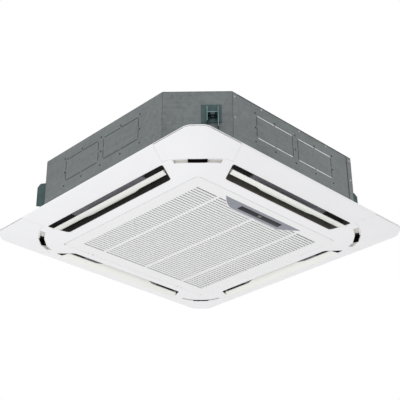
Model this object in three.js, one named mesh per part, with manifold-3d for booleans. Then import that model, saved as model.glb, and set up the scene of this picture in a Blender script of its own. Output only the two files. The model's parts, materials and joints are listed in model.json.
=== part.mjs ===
// Ceiling cassette air conditioner: a galvanised octagonal casing that hangs above the ceiling,
// and a white four-way outlet panel with a hinged intake grille below it.
// Millimetres, +Z up. The origin is the panel's centre in the ceiling plane, on which the top
// of the panel's rim lies. -Y is the side of the grille that carries the display.

import * as THREE from "three";
import { mergeVertices } from "three/addons/utils/BufferGeometryUtils.js";
import Module from "manifold-3d";

const wasm = await Module();
wasm.setup();

// ---- Driving dimensions ------------------------------------------------------------------

// Clearances
const fitGap = 0.3; // between two pieces that rest on or in each other
const turnGap = 0.4; // round a pin that turns in its hole
const doorGap = 0.8; // round the intake grille in the panel
const lensGap = 0.6; // round the display in the grille

// Panel
const panelWidth = 950;
const panelCorner = 40; // leg of each cut corner
const panelCornerEase = 13; // how far each edge of a cut corner is rounded back
const rimThickness = 7;
const rimEdge = 1.5;
const rimWidth = 20; // solid band that lies against the ceiling
const faceDrop = 39; // flat middle of the panel below the ceiling plane
const riseWidth = 175; // from the flat middle to the panel's edge, along which the face rises
const flatCorner = 24;
const crownPower = 1.5;
const crownSteps = 3;
const shellWall = 3;
const seatWallWidth = 8.5; // wall under the casing's edge
const openingMargin = 166.5; // from the panel's edge to the grille's opening
const openingCorner = 18;
const openingWall = 3;
const postRadius = 7; // screw posts that meet the casing
const postInset = 14; // from the casing's cut corner to the middle of the post

// Outlet slots, one on each side
const slotMargin = 69; // from the panel's edge to the slot's outer edge
const slotWidth = 63;
const slotEndMargin = 240; // from the panel's edge to the ends of the slot's inner edge
const slotSplay = 0.5; // how fast the slot's ends lean outwards
const slotCorner = 8;

// Outlet guides, the dark liners in the slots
const guideWall = 1.6;
const guideTop = 3.4; // above the ceiling plane
const guideFlange = 4;
const guideLift = 0.4; // how far a guide stays behind the panel's face

// Louvers
const louverPivotInset = 32; // from the slot's inner edge to the pivot
const louverPivotHeight = -21;
const louverOuter = 20; // pivot to the outer edge, across the slot
const louverInner = 16.5; // pivot to the inner edge at mid-length
const louverNarrow = 8; // pivot to the inner edge near the ends
const louverOuterDrop = 14.6;
const louverInnerDrop = 5.6;
const louverSag = 1.6;
const louverThickness = 2.4;
const louverMiddleHalf = 97;
const louverStepLength = 30;
const louverEndGap = 3;
const louverSteps = 4;
const earThickness = 2;
const earRadius = 5;
const earGap = 1; // between an ear and the outlet guide
const pinRadius = 2.5;

// Louver motors
const motorCanRadius = 12;
const motorCanLength = 18;
const motorShaftOffset = 8;
const motorBossRadius = 4.5;
const cradleWidth = 12;
const cradleSetback = 2; // from each end of the motor's can

// Corner covers and the curved recess beside each
const recessMargin = 260; // from the panel's edges to the middle of the recess's arc
const recessRadius = 200;
const recessWidth = 16;
const recessHalfAngle = 19.8;
const recessDepth = 8;
const recessFloor = 3;
const windowLength = 55;
const windowWidth = 18;
const windowDepth = 20;
const coverThickness = 2.7;
const coverGap = 0.4;
const coverRimLength = 170; // how far along the rim the cover reaches
const coverSlotMargin = 6; // between a slot's outer corner and the cover
const coverArcMargin = 11; // between the middle of the recess and the cover
const coverArcHalfAngle = 24;
const coverSteps = 4;
const pocketWall = 2.5;

// Intake grille
const grilleCorner = 17;
const grillePlate = 2.5;
const slatMargin = 43.5; // from the opening's edge to the slats
const slatPitch = 11.93;
const slatThickness = 3.7;
const slatHeight = 7.5;
const barWidth = 8;
const barPositions = [-177, 0, 170];
const upstandInset = 8; // from the grille's edge to the stiffening upstand
const upstandWall = 2;
const upstandHeight = 10.5;

// Grille hinge
const knucklePositions = [-200, 200];
const knuckleNotch = 24;
const knuckleLug = 14;
const hingePinRadius = 1.2;
const hingeReach = 2.2; // hinge line to the grille's face and to its edge
const hingeLip = 1.1; // what is left of the panel's face at the hinged corners
const hingeEdgeRelief = 0.4; // the hinged edge is this much shorter than the others

// Grille latches
const latchMargin = 73.5; // from the opening's edge to the middle of the latch
const latchWidth = 40;
const latchLength = 18;
const latchHeight = 5;
const latchSetback = 4.7; // from the grille's edge to the latch body
const tongueWidth = 14;
const tongueHeight = 3;
const latchTravel = 4.5; // from drawn back to engaged

// Air filter
const filterMargin = 46.5; // from the opening's edge to the filter
const filterLensGap = 5; // between the display and the filter
const filterFrameWidth = 10;
const filterFrameHeight = 4;
const filterNet = 1.2;

// Display
const lensMargin = 27.5; // from the opening's edge to the display
const lensDepth = 44;
const lensHalf = 166;
const lensFlatHalf = 95;
const lensHeight = 8;
const lensSteps = 6;
const displayArmHalf = 60;
const displayArmHeight = 2;
const displayFootHeight = 22;
const windowPaneFrom = -86;
const windowPaneTo = 95;
const windowPaneInset = 12; // from the display's straight edge
const windowPaneDepth = 21;
const windowPaneThickness = 1.2;

// Casing
const panelLap = 57.5; // how far the panel reaches past the casing
const bodyCorner = 142;
const bodyBottom = 4;
const bodyTop = 210.6;
const sheet = 1;
const baseSheet = 1.2;
const baseWidth = 24.5;
const cornerFlange = 20.5;
const topFlange = 12;
const topDomeRadius = 120;
const topDomeRise = 3;
const topDomeSlope = 8;

// Knock-outs in the side panels
const knockoutWidth = 160;
const knockoutHeight = 75;
const knockoutCentreX = 92;
const knockoutCentreZ = 135;
const knockoutSlit = 2;
const knockoutBridge = 5;
const knockoutCornerBridge = 4;

// Hanger brackets
const hangerOffset = 39.5; // along the cut corner, from its middle
const hangerWidth = 59;
const hangerBottom = 93;
const hangerTop = 152;
const hangerSheet = 2;
const hangerReach = 33;
const hangerCheekFrom = -13;
const hangerCheekTo = 20;
const hangerShelfHeight = 118;
const hangerSlot = 12;
const hangerSlotDepth = 24;
const hangerTailBottom = 66;

// Insulation and drain pan
const foamThickness = 17;
const foamTopThickness = 12;
const foamTopHole = 115;
const panHeight = 40;
const ductInnerStep = 4; // from the slot's inner edge to the duct's
const ductOuterStep = 14;
const ductEndStep = 5;
const panHoleMargin = 19; // between the coil and the hole
const panStep = 13;
const troughWidth = 32;
const troughDepth = 22;

// Bell mouth
const bellThroat = 157;
const bellWall = 2.5;
const bellTop = 56;
const bellFlareRadius = 34;
const bellLip = 12; // height of the straight lip
const bellFlange = 14; // from the flare to the flange's edge
const bellPlateMargin = 2; // between the flare and the plate's hole
const bellSteps = 3;

// Heat exchanger
const coilMargin = 117.5; // from the casing to the middle of the coil
const coilThickness = 38;
const coilBend = 70;
const coilTop = 196.7;
const coilOpening = 110; // how far the coil stops short of its open corner
const coilBendSteps = 5;
const endPlate = 2;
const endPlateMargin = 4;
const returnBendRadius = 4;
const returnBendReach = 9;
const returnBendCount = 5;

// Pipes
const headerDistance = 14; // from the end plate to the headers
const gasPipeRadius = 7.94;
const liquidPipeRadius = 4.76;
const gasPipeOffset = 11; // from the middle of the coil
const liquidPipeOffset = -12;
const pipeExitOffset = 46; // from the coil's end
const gasExitZ = 150;
const liquidExitZ = 105;
const headerBottom = 62;
const pipeBend = 14;
const pipeReach = 34.5; // past the casing
const pipeSides = 10;
const pipeSteps = 14;
const stubRadius = 3;
const nutLength = 22;
const nutSetback = 4;
const gasNutAcross = 26;
const liquidNutAcross = 19;
const pipePlateMargin = 9;
const pipePlateSheet = 2;

// Fan and its motor
const mountRadius = 70;
const mountThickness = 3.3;
const motorRadius = 62;
const motorBottom = 150;
const motorCornerRadius = 10;
const shaftRadius = 6;
const shaftBottom = 92;
const hubRadius = 20;
const hubTop = 125;
const hubBottom = 100;
const fanRadius = 228;
const fanTop = 191;
const fanSheet = 2.5;
const fanConeFoot = 68;
const fanConeFootZ = 114;
const fanConeHead = 150;
const shroudInner = 165;
const shroudBottom = 52;
const shroudTop = 88.5;
const shroudThroat = [4, 16.5]; // where the shroud starts to open: out, up
const shroudShoulder = [20, 26.5]; // where it has turned outwards
const bladeCount = 7;
const bladeInner = 150;
const bladeThickness = 3;
const bladeSweep = 34; // degrees between a blade's inner and outer end
const bladeSteps = 3;
const fanSides = 28;
const nutHeight = 6;
const nutAcross = 19;

// Control box
const boxWidth = 300;
const boxDepth = 86;
const boxMargin = 44.5; // from the opening's edge to the box
const boxHeight = 25.2;
const boxWall = 1.5;
const boardWidth = 200;
const boardDepth = 62;
const boardThickness = 1.6;
const standoffHeight = 4;
const terminalWidth = 60;
const terminalDepth = 22;
const terminalHeight = 12;
const terminalWays = 5;
const terminalSlit = 1;
const capacitorRadius = 5;
const capacitorHeight = 8;

// Drain pump and float switch, in the coil's open corner
const pumpOffset = [-14, -38]; // from the corner where the coil's middle lines would meet
const pumpRadius = 28;
const pumpHeight = 46;
const pumpFlangeRadius = 36;
const pumpFlange = 3;
const pumpIntakeRadius = 14;
const sumpRadius = 30;
const sumpFloor = 12;
const spigotZ = 78;
const spigotRadius = 9;
const spigotWall = 2;
const spigotReach = 27.5; // past the casing
const floatOffset = [18, 12]; // from the same corner
const floatWellRadius = 15;
const floatRadius = 11;
const floatHeight = 16;
const floatTravel = 12;
const stemRadius = 2.5;
const stopRadius = 5;
const stopHeight = 2;
const stemFoot = 17; // bottom of the float's stem
const floatArmThickness = 3;
const floatArmWidth = 12;
const floatPostOffset = 24;

// ---- Values that follow from them --------------------------------------------------------

const panelHalf = panelWidth / 2;
const flatHalf = panelHalf - riseWidth;
const openingHalf = panelHalf - openingMargin;
const slotOuter = panelHalf - slotMargin;
const slotInner = slotOuter - slotWidth;
const slotInnerHalf = panelHalf - slotEndMargin;
const louverPivotDistance = slotInner + louverPivotInset;
const recessCentre = panelHalf - recessMargin;
const coverRimStart = panelHalf - coverRimLength;
const bodyHalf = panelHalf - panelLap;
const faceZ = -faceDrop;
const seatOuter = bodyHalf - sheet - fitGap;
const seatInner = seatOuter - seatWallWidth;
const grilleHalf = openingHalf - doorGap;
const grilleTopZ = faceZ + grillePlate;
const slatTopZ = faceZ + slatHeight;
const slatField = 2 * (openingHalf - slatMargin);
const latchPositions = [-1, 1].map((side) => side * (openingHalf - latchMargin));
const lensStraightY = -openingHalf + lensMargin;
const lensFlatY = lensStraightY + lensDepth;
const windowPaneFront = lensStraightY + windowPaneInset;
const windowPaneBack = windowPaneFront + windowPaneDepth;
const filterHalf = openingHalf - filterMargin;
const filterFront = lensFlatY + filterLensGap;
const hingeY = grilleHalf - hingeEdgeRelief - hingeReach;
const hingeZ = faceZ + hingeReach;
const baseTop = bodyBottom + baseSheet;
const wallBottom = baseTop + fitGap;
const topUnderside = bodyTop - sheet;
const wallTop = topUnderside - fitGap;
const longWallInset = sheet + fitGap; // the +Y and -Y walls lie behind the corner flanges
const foamInset = longWallInset + sheet + fitGap;
const foamInnerInset = foamInset + foamThickness;
const foamTopZ = topUnderside - fitGap;
const foamWallTopZ = foamTopZ - foamTopThickness;
const panBottom = wallBottom;
const panTop = panBottom + panHeight;
const panInset = foamInnerInset + fitGap;
const coilBottom = panTop + fitGap;
const coilCentre = bodyHalf - coilMargin;
const coilInner = coilCentre - coilThickness / 2;
const coilOuter = coilCentre + coilThickness / 2;
const coilEnd = coilCentre - coilOpening;
const gasPipeY = coilCentre + gasPipeOffset;
const liquidPipeY = coilCentre + liquidPipeOffset;
const pipeExitX = coilEnd + pipeExitOffset;
const pipeEndY = bodyHalf + pipeReach;
const ductInner = slotInner + ductInnerStep;
const ductOuter = slotOuter - ductOuterStep;
const ductHalf = slotInnerHalf + ductEndStep;
const panHole = coilInner - panHoleMargin;
const bellBottom = panBottom + fitGap;
const boxTop = panBottom - fitGap;
const boxBottom = boxTop - boxHeight;
const boxBack = openingHalf - boxMargin;
const boxFront = boxBack - boxDepth;
const [pumpX, pumpY] = pumpOffset.map((offset) => coilCentre + offset);
const [floatX, floatY] = floatOffset.map((offset) => coilCentre + offset);
const spigotEndX = bodyHalf + spigotReach;
const pumpFlangeBottom = panTop + fitGap;
const mountTop = topUnderside - fitGap;
const mountBottom = mountTop - mountThickness;
const floatBottom = stemFoot + stopHeight + fitGap;
const floatArmBottom = floatBottom + floatHeight + floatTravel + floatArmThickness;
const pinCentreY = -louverPivotDistance;
const pinEndX = slotHalfAt(louverPivotDistance + motorBossRadius);
const motorFaceX = pinEndX + fitGap;
const motorCanStart = slotHalfAt(louverPivotDistance + motorCanRadius);
const cornerLine = (2 * bodyHalf - bodyCorner) / Math.SQRT2; // centre to the casing's cut corner
const quarter = Math.PI / 2;
const over = 1; // how far a cutting solid runs past what it cuts
const airSides = 28; // sides of the round air inlet in the pan and of the bell mouth

// ---- Materials ---------------------------------------------------------------------------

const paint = (color, roughness, metalness = 0) =>
  new THREE.MeshStandardMaterial({ color, roughness, metalness, flatShading: true });

const galvanised = paint(0x727876, 0.42, 0.75);
const bracketSteel = paint(0x5f6b6a, 0.45, 0.8);
const panelWhite = paint(0xf0f0f2, 0.38);
const louverIvory = paint(0xeef0e6, 0.4);
const grilleWhite = paint(0xe8e6e8, 0.45);
const guideDark = paint(0x4a4442, 0.7);
const displayGrey = paint(0x969baa, 0.35);
const windowBlack = paint(0x282d32, 0.12);
const motorGrey = paint(0xa8aaac, 0.5, 0.3);
const filterGrey = paint(0x6d7478, 0.8);
const gasketBlack = paint(0x26282a, 0.9);
const foamWhite = paint(0xd9dbd8, 0.9);
const finAluminium = paint(0xb9bec2, 0.4, 0.9);
const copper = paint(0xb87348, 0.35, 0.9);
const brass = paint(0xc0a050, 0.35, 0.9);
const fanPlastic = paint(0x3d4348, 0.55);
const boxSteel = paint(0x9da2a2, 0.45, 0.7);
const boardGreen = paint(0x2f6b46, 0.5);
const pumpPlastic = paint(0xe1e2de, 0.5);

// ---- Solids ------------------------------------------------------------------------------

// Turns a closed three.js geometry into a solid, with its faces pointing out.
function solid(geometry) {
  const bare = geometry.clone();
  bare.deleteAttribute("normal");
  bare.deleteAttribute("uv");
  const merged = mergeVertices(bare, 1e-4);
  const vertices = Float32Array.from(merged.attributes.position.array);
  const triangles = [];
  for (let i = 0; i < merged.index.count; i += 3) {
    const [a, b, c] = [0, 1, 2].map((k) => merged.index.getX(i + k));
    if (a !== b && b !== c && c !== a) triangles.push([a, b, c]);
  }
  const corner = (i) => new THREE.Vector3().fromArray(vertices, i * 3);
  const volume = triangles.reduce(
    (sum, [a, b, c]) => sum + corner(a).dot(corner(b).cross(corner(c))), 0);
  if (volume < 0) triangles.forEach((triangle) => triangle.reverse());
  return new wasm.Manifold(new wasm.Mesh({
    numProp: 3,
    vertProperties: vertices,
    triVerts: Uint32Array.from(triangles.flat()),
  }));
}

// Turns a solid back into a three.js geometry.
function geometryOf(body) {
  const mesh = body.getMesh();
  const geometry = new THREE.BufferGeometry();
  geometry.setAttribute("position", new THREE.Float32BufferAttribute(mesh.vertProperties, 3));
  geometry.setIndex(Array.from(mesh.triVerts));
  return geometry;
}

const joined = (bodies) => bodies.reduce((sum, body) => sum.add(body));
const cutBy = (body, tools) => tools.reduce((rest, tool) => rest.subtract(tool), body);

function shapeOf(points) {
  return new THREE.Shape(points.map(([x, y]) => new THREE.Vector2(x, y)));
}

// Extrudes an outline in X and Y from one height to another.
function prismGeometry(points, bottom, top) {
  const settings = { depth: top - bottom, bevelEnabled: false };
  return new THREE.ExtrudeGeometry(shapeOf(points), settings).translate(0, 0, bottom);
}
const prism = (points, bottom, top) => solid(prismGeometry(points, bottom, top));

// Extrudes an outline in Y and Z along X.
function alongX(points, from, to) {
  const settings = { depth: to - from, bevelEnabled: false };
  const basis = new THREE.Matrix4().makeBasis(
    new THREE.Vector3(0, 1, 0), new THREE.Vector3(0, 0, 1), new THREE.Vector3(1, 0, 0));
  const geometry = new THREE.ExtrudeGeometry(shapeOf(points), settings);
  return geometry.applyMatrix4(basis).translate(from, 0, 0);
}

function boxGeometry([x0, x1], [y0, y1], [z0, z1]) {
  const geometry = new THREE.BoxGeometry(x1 - x0, y1 - y0, z1 - z0);
  return geometry.translate((x0 + x1) / 2, (y0 + y1) / 2, (z0 + z1) / 2);
}
const box = (x, y, z) => solid(boxGeometry(x, y, z));

function cylinderZ(x, y, radius, bottom, top, sides = 20) {
  const geometry = new THREE.CylinderGeometry(radius, radius, top - bottom, sides);
  return geometry.rotateX(quarter).translate(x, y, (bottom + top) / 2);
}

function cylinderX(y, z, radius, from, to, sides = 16) {
  const geometry = new THREE.CylinderGeometry(radius, radius, to - from, sides);
  return geometry.rotateZ(quarter).translate((from + to) / 2, y, z);
}

function cylinderY(x, z, radius, from, to, sides = 16) {
  const geometry = new THREE.CylinderGeometry(radius, radius, to - from, sides);
  return geometry.translate(x, (from + to) / 2, z);
}

// Turns a closed profile of radius and height about the Z axis.
function turned(profile, sides) {
  const points = [...profile, profile[0]].map(([r, z]) => new THREE.Vector2(r, z));
  return new THREE.LatheGeometry(points, sides).rotateX(quarter);
}

// The far side of a sheet of even thickness, to the right of a line of radius and height.
function farSide(line, thickness) {
  const at = line.map((point) => new THREE.Vector2(...point));
  return at.map((point, i) => {
    const legs = [i > 0 && point.clone().sub(at[i - 1]),
      i + 1 < at.length && at[i + 1].clone().sub(point)].filter(Boolean);
    const along = legs.reduce((sum, leg) => sum.add(leg.normalize()), new THREE.Vector2());
    const reach = thickness / along.normalize().dot(legs[0]);
    return [point.x + along.y * reach, point.y - along.x * reach];
  });
}

const turnedBy = (geometry, turn) => geometry.clone().rotateZ(turn * quarter);
const fourTimes = (geometry) => [0, 1, 2, 3].map((turn) => solid(turnedBy(geometry, turn)));

// ---- Outlines ----------------------------------------------------------------------------

function octagon(half, leg) {
  const k = half - leg;
  return [[k, -half], [half, -k], [half, k], [k, half], [-k, half], [-half, k], [-half, -k],
    [-k, -half]];
}

// The casing's outline, moved in by the same distance on all eight sides.
function bodyOctagon(inset) {
  return octagon(bodyHalf - inset, bodyCorner - inset * (2 - Math.SQRT2));
}

function rectangle(x0, x1, y0, y1) {
  return [[x0, y0], [x1, y0], [x1, y1], [x0, y1]];
}

// Rounds each corner of an outline, from a given distance before it to the same after it.
function eased(points, distance, steps) {
  const result = [];
  points.forEach((point, i) => {
    const at = new THREE.Vector2(...point);
    const before = new THREE.Vector2(...points.at(i - 1));
    const after = new THREE.Vector2(...points[(i + 1) % points.length]);
    const start = at.clone().add(before.sub(at).setLength(distance));
    const end = at.clone().add(after.sub(at).setLength(distance));
    const curve = new THREE.QuadraticBezierCurve(start, at, end);
    curve.getPoints(steps).forEach((p) => result.push([p.x, p.y]));
  });
  return result;
}

function squareOutline(half, corner) {
  return eased(rectangle(-half, half, -half, half), corner, 3);
}

// Half the slot's length at a distance from the panel's centre, with its ends moved in.
function slotHalfAt(distance, inset = 0) {
  const along = slotInnerHalf + slotSplay * (distance - slotInner);
  return along - inset * Math.hypot(1, slotSplay);
}

// The slot on the -Y side, moved in by the same distance all round.
function slotOutline(inset) {
  const inner = slotInner + inset;
  const outer = slotOuter - inset;
  const points = [
    [-slotHalfAt(outer, inset), -outer],
    [slotHalfAt(outer, inset), -outer],
    [slotHalfAt(inner, inset), -inner],
    [-slotHalfAt(inner, inset), -inner],
  ];
  return eased(points, slotCorner, 2);
}

function arcPoints(radius, halfAngle, steps) {
  return Array.from({ length: steps + 1 }, (_, i) => {
    const angle = THREE.MathUtils.degToRad(225 - halfAngle + (2 * halfAngle * i) / steps);
    return [-recessCentre + radius * Math.cos(angle), -recessCentre + radius * Math.sin(angle)];
  });
}

// The curved recess of the corner between -X and -Y, grown by a wall.
function recessOutline(grow) {
  const halfAngle = recessHalfAngle + THREE.MathUtils.radToDeg(grow / recessRadius);
  const outside = arcPoints(recessRadius + recessWidth / 2 + grow, halfAngle, coverSteps);
  const inside = arcPoints(recessRadius - recessWidth / 2 - grow, halfAngle, coverSteps);
  return [...outside, ...inside.reverse()];
}

// The dark window in the middle of the recess, square to the panel's diagonal.
function windowOutline(grow) {
  const middle = recessCentre + recessRadius * Math.SQRT1_2;
  const along = (windowLength / 2 + grow) * Math.SQRT1_2;
  const across = (windowWidth / 2 + grow) * Math.SQRT1_2;
  return [[-along - across, along - across], [-along + across, along + across],
    [along + across, -along + across], [along - across, -along - across]]
    .map(([x, y]) => [x - middle, y - middle]);
}

// The corner cover between -X and -Y, moved in by a gap; a negative gap grows it.
function coverOutline(gap) {
  const rimStart = coverRimStart + gap;
  const slotX = slotOuter + coverSlotMargin + gap;
  const slotY = slotHalfAt(slotOuter) + coverSlotMargin + gap;
  const out = panelHalf + over;
  const radius = recessRadius + coverArcMargin + gap;
  const seam = arcPoints(radius, coverArcHalfAngle, coverSteps);
  return [[-rimStart, -out], [-slotY, -slotX], ...seam.reverse(), [-slotX, -slotY],
    [-out, -rimStart], [-out, -out]];
}

// ---- The panel's curved face -------------------------------------------------------------

function crownAt(distance) {
  const rise = faceDrop - rimThickness;
  const share = Math.max(0, distance - flatHalf) / (panelHalf - flatHalf);
  return faceZ + rise * share ** crownPower;
}

function ringAt(distance, height) {
  const share = (distance - flatHalf) / (panelHalf - flatHalf);
  const leg = THREE.MathUtils.lerp(flatCorner, panelCorner, share);
  const ease = (panelCornerEase * leg) / panelCorner;
  return eased(octagon(distance, leg), ease, 1).map(([x, y]) => [x, y, height]);
}

// Skins a stack of rings with the same number of points and closes both ends.
function loft(rings) {
  const count = rings[0].length;
  const positions = rings.flat(2);
  const index = [];
  for (let ring = 0; ring + 1 < rings.length; ring += 1) {
    for (let i = 0; i < count; i += 1) {
      const next = (i + 1) % count;
      const [a, b] = [ring * count + i, ring * count + next];
      index.push(a, a + count, b + count, a, b + count, b);
    }
  }
  const capStart = (rings.length - 1) * count;
  for (let i = 1; i + 1 < count; i += 1) {
    index.push(0, i, i + 1);
    index.push(capStart, capStart + i + 1, capStart + i);
  }
  const geometry = new THREE.BufferGeometry();
  geometry.setAttribute("position", new THREE.Float32BufferAttribute(positions, 3));
  return geometry.setIndex(index);
}

// All that lies between the panel's face, lifted by some height, and a level top.
function aboveFace(lift, top) {
  const rings = [
    ringAt(panelHalf, top),
    ringAt(panelHalf, lift - rimThickness + rimEdge),
    ringAt(panelHalf - rimEdge, lift + crownAt(panelHalf - rimEdge)),
  ];
  for (let step = crownSteps - 1; step >= 0; step -= 1) {
    const distance = flatHalf + ((panelHalf - flatHalf) * step) / crownSteps;
    rings.push(ringAt(distance, lift + crownAt(distance)));
  }
  return solid(loft(rings));
}

const farBelow = faceZ - 20;
const farAbove = 40;

// ---- Panel frame -------------------------------------------------------------------------

function cornerBacking(turn) {
  const walls = turnedSolid(prismGeometry(coverOutline(-pocketWall), farBelow, 0), turn);
  const backed = aboveFace(0, 0).intersect(walls);
  return backed.subtract(aboveFace(shellWall + coverThickness + coverGap, over));
}

function turnedSolid(geometry, turn) {
  return solid(turnedBy(geometry, turn));
}

function recessBacking(turn) {
  const trough = turnedSolid(prismGeometry(recessOutline(recessFloor), farBelow, 0), turn)
    .subtract(aboveFace(recessDepth + recessFloor, over));
  const pit = turnedSolid(prismGeometry(windowOutline(recessFloor), farBelow, 0), turn)
    .subtract(aboveFace(windowDepth + recessFloor, over));
  return trough.add(pit).intersect(aboveFace(0, 0));
}

function recessCut(turn) {
  const trough = turnedSolid(prismGeometry(recessOutline(0), farBelow, 0), turn)
    .subtract(aboveFace(recessDepth, over));
  const pit = turnedSolid(prismGeometry(windowOutline(0), farBelow, 0), turn)
    .subtract(aboveFace(windowDepth, over));
  return trough.add(pit);
}

function pocketCut(turn) {
  const region = turnedSolid(prismGeometry(coverOutline(0), farBelow, 0), turn);
  return region.subtract(aboveFace(coverThickness + coverGap, over));
}

function screwPost() {
  const middle = (cornerLine - postInset) * Math.SQRT1_2;
  const top = bodyBottom - fitGap;
  return cylinderZ(-middle, -middle, postRadius, faceZ + shellWall, top, 16);
}

// A block under each louver motor, moulded on the panel.
function motorCradle() {
  const start = motorCanStart;
  const top = louverPivotHeight + motorShaftOffset - motorCanRadius - fitGap;
  const across = [pinCentreY - cradleWidth / 2, pinCentreY + cradleWidth / 2];
  return boxGeometry([start + cradleSetback, start + motorCanLength - cradleSetback], across,
    [faceZ, top]);
}

function hingeLug(x) {
  const reach = hingeReach;
  const back = openingHalf + over;
  const profile = [[back, hingeZ - reach], [back, hingeZ + reach], [hingeY, hingeZ + reach],
    [hingeY - reach * Math.SQRT1_2, hingeZ + reach * Math.SQRT1_2], [hingeY - reach, hingeZ],
    [hingeY - reach * Math.SQRT1_2, hingeZ - reach * Math.SQRT1_2], [hingeY, hingeZ - reach]];
  const lug = solid(alongX(profile, x - knuckleLug / 2, x + knuckleLug / 2));
  const hole = cylinderX(hingeY, hingeZ, hingePinRadius + turnGap,
    x - knuckleLug / 2 - over, x + knuckleLug / 2 + over, 12);
  return lug.subtract(solid(hole));
}

function latchWindow(x) {
  const half = tongueWidth / 2 + fitGap;
  const bottom = grilleTopZ + (latchHeight - tongueHeight) / 2;
  const wall = [-openingHalf - latchTravel, -openingHalf + over];
  return box([x - half, x + half], wall, [bottom, bottom + tongueHeight + 2 * fitGap]);
}

// Room above the face's thin lip, so that the grille's edge can swing past the corners.
function hingeRelief() {
  const half = openingHalf - over;
  return box([-half, half], [hingeY - 2 * hingeReach, openingHalf],
    [faceZ + hingeLip, hingeZ + 2 * hingeReach]);
}

function panelFrame() {
  const whole = aboveFace(0, 0);
  const hollow = aboveFace(shellWall, over)
    .intersect(prism(octagon(panelHalf - rimWidth, panelCorner), farBelow, farAbove));
  const seatRing = prism(bodyOctagon(bodyHalf - seatOuter), farBelow, 0)
    .subtract(prism(bodyOctagon(bodyHalf - seatInner), farBelow - over, over))
    .intersect(whole);
  const wallTopZ = panBottom - fitGap;
  const collar = prism(squareOutline(openingHalf + openingWall, openingCorner), faceZ, wallTopZ)
    .intersect(aboveFace(0, wallTopZ));
  const added = [
    seatRing,
    collar,
    ...fourTimes(screwPost()).map((post) => post.intersect(aboveFace(0, bodyBottom))),
    ...fourTimes(motorCradle()).map((cradle) => cradle.intersect(whole)),
    ...[0, 1, 2, 3].map(cornerBacking),
    ...[0, 1, 2, 3].map(recessBacking),
  ];
  const cuts = [
    prism(squareOutline(openingHalf, openingCorner), farBelow, farAbove),
    ...fourTimes(prismGeometry(slotOutline(0), farBelow, farAbove)),
    ...[0, 1, 2, 3].map(pocketCut),
    ...[0, 1, 2, 3].map(recessCut),
    ...latchPositions.map(latchWindow),
    hingeRelief(),
  ];
  const frame = cutBy(joined([whole.subtract(hollow), ...added]), cuts);
  return joined([frame, ...knucklePositions.map(hingeLug)]);
}

function cornerCover() {
  const skin = aboveFace(0, 0).subtract(aboveFace(coverThickness, over));
  return skin.intersect(prism(coverOutline(coverGap), farBelow, farAbove));
}

// ---- Outlets -----------------------------------------------------------------------------

function outletGuide() {
  const tube = prism(slotOutline(fitGap), farBelow, farAbove)
    .subtract(prism(slotOutline(fitGap + guideWall), farBelow - over, farAbove + over))
    .intersect(aboveFace(guideLift, guideTop));
  const inner = slotInner + fitGap;
  const half = slotInnerHalf - slotCorner;
  const ledge = prism(rectangle(-half, half, -inner - guideWall / 2, -inner + guideFlange),
    farBelow, farAbove)
    .intersect(aboveFace(shellWall + fitGap, farAbove))
    .subtract(aboveFace(shellWall + fitGap + guideWall, farAbove + over));
  const reach = slotHalfAt(louverPivotDistance) + over;
  const hole = cylinderX(pinCentreY, louverPivotHeight, pinRadius + turnGap, -reach, reach, 10);
  return tube.add(ledge).subtract(solid(hole));
}

// The vane's section across the slot: a thin strip that sags between its two edges.
function vaneProfile() {
  const outer = new THREE.Vector2(
    pinCentreY - louverOuter, louverPivotHeight - louverOuterDrop);
  const inner = new THREE.Vector2(
    pinCentreY + louverInner, louverPivotHeight - louverInnerDrop);
  const middle = outer.clone().lerp(inner, 0.5);
  const down = new THREE.Vector2(inner.y - outer.y, outer.x - inner.x).normalize();
  const bulge = middle.add(down.multiplyScalar(2 * louverSag));
  const curve = new THREE.QuadraticBezierCurve(outer, bulge, inner);
  const low = curve.getPoints(louverSteps).map((p) => [p.x, p.y]);
  const high = low.map(([y, z]) => [y, z + louverThickness]);
  return [...low, ...high.reverse()];
}

// The vane's plan: ends that follow the slot's, and a wider middle.
function vanePlan() {
  const inset = fitGap + guideWall + louverEndGap;
  const outer = louverPivotDistance + louverOuter + over;
  const narrow = louverPivotDistance - louverNarrow;
  const wide = louverPivotDistance - louverInner - over;
  const half = [
    [slotHalfAt(outer, inset), -outer],
    [slotHalfAt(narrow, inset), -narrow],
    [louverMiddleHalf + louverStepLength, -narrow],
    [louverMiddleHalf, -wide],
  ];
  return [...half, ...half.map(([x, y]) => [-x, y]).reverse()];
}

function louver() {
  const reach = slotHalfAt(slotOuter);
  const vane = solid(alongX(vaneProfile(), -reach, reach))
    .intersect(prism(vanePlan(), farBelow, farAbove));
  const nearest = louverPivotDistance - louverNarrow - earRadius;
  const earOuter = slotHalfAt(nearest, fitGap + guideWall) - earGap;
  const ears = [-1, 1].map((side) => {
    const x = side * (earOuter - earThickness / 2);
    const span = [x - earThickness / 2, x + earThickness / 2];
    const disc = cylinderX(pinCentreY, louverPivotHeight, earRadius, ...span, 12);
    const foot = louverPivotHeight - (louverOuterDrop + louverInnerDrop) / 2 - louverSag / 2;
    const stem = box(span, [pinCentreY - earRadius, pinCentreY + earRadius],
      [foot, louverPivotHeight]);
    const pinSpan = [earOuter - earThickness, pinEndX].map((v) => v * side).sort((a, b) => a - b);
    const pin = cylinderX(pinCentreY, louverPivotHeight, pinRadius, ...pinSpan, 10);
    return joined([solid(disc), stem, solid(pin)]);
  });
  return joined([vane, ...ears]);
}

function louverMotor() {
  const boss = cylinderX(pinCentreY, louverPivotHeight, motorBossRadius, motorFaceX,
    motorCanStart + over);
  const can = cylinderX(pinCentreY, louverPivotHeight + motorShaftOffset, motorCanRadius,
    motorCanStart, motorCanStart + motorCanLength);
  return solid(boss).add(solid(can));
}

// ---- Intake grille -----------------------------------------------------------------------

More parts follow.
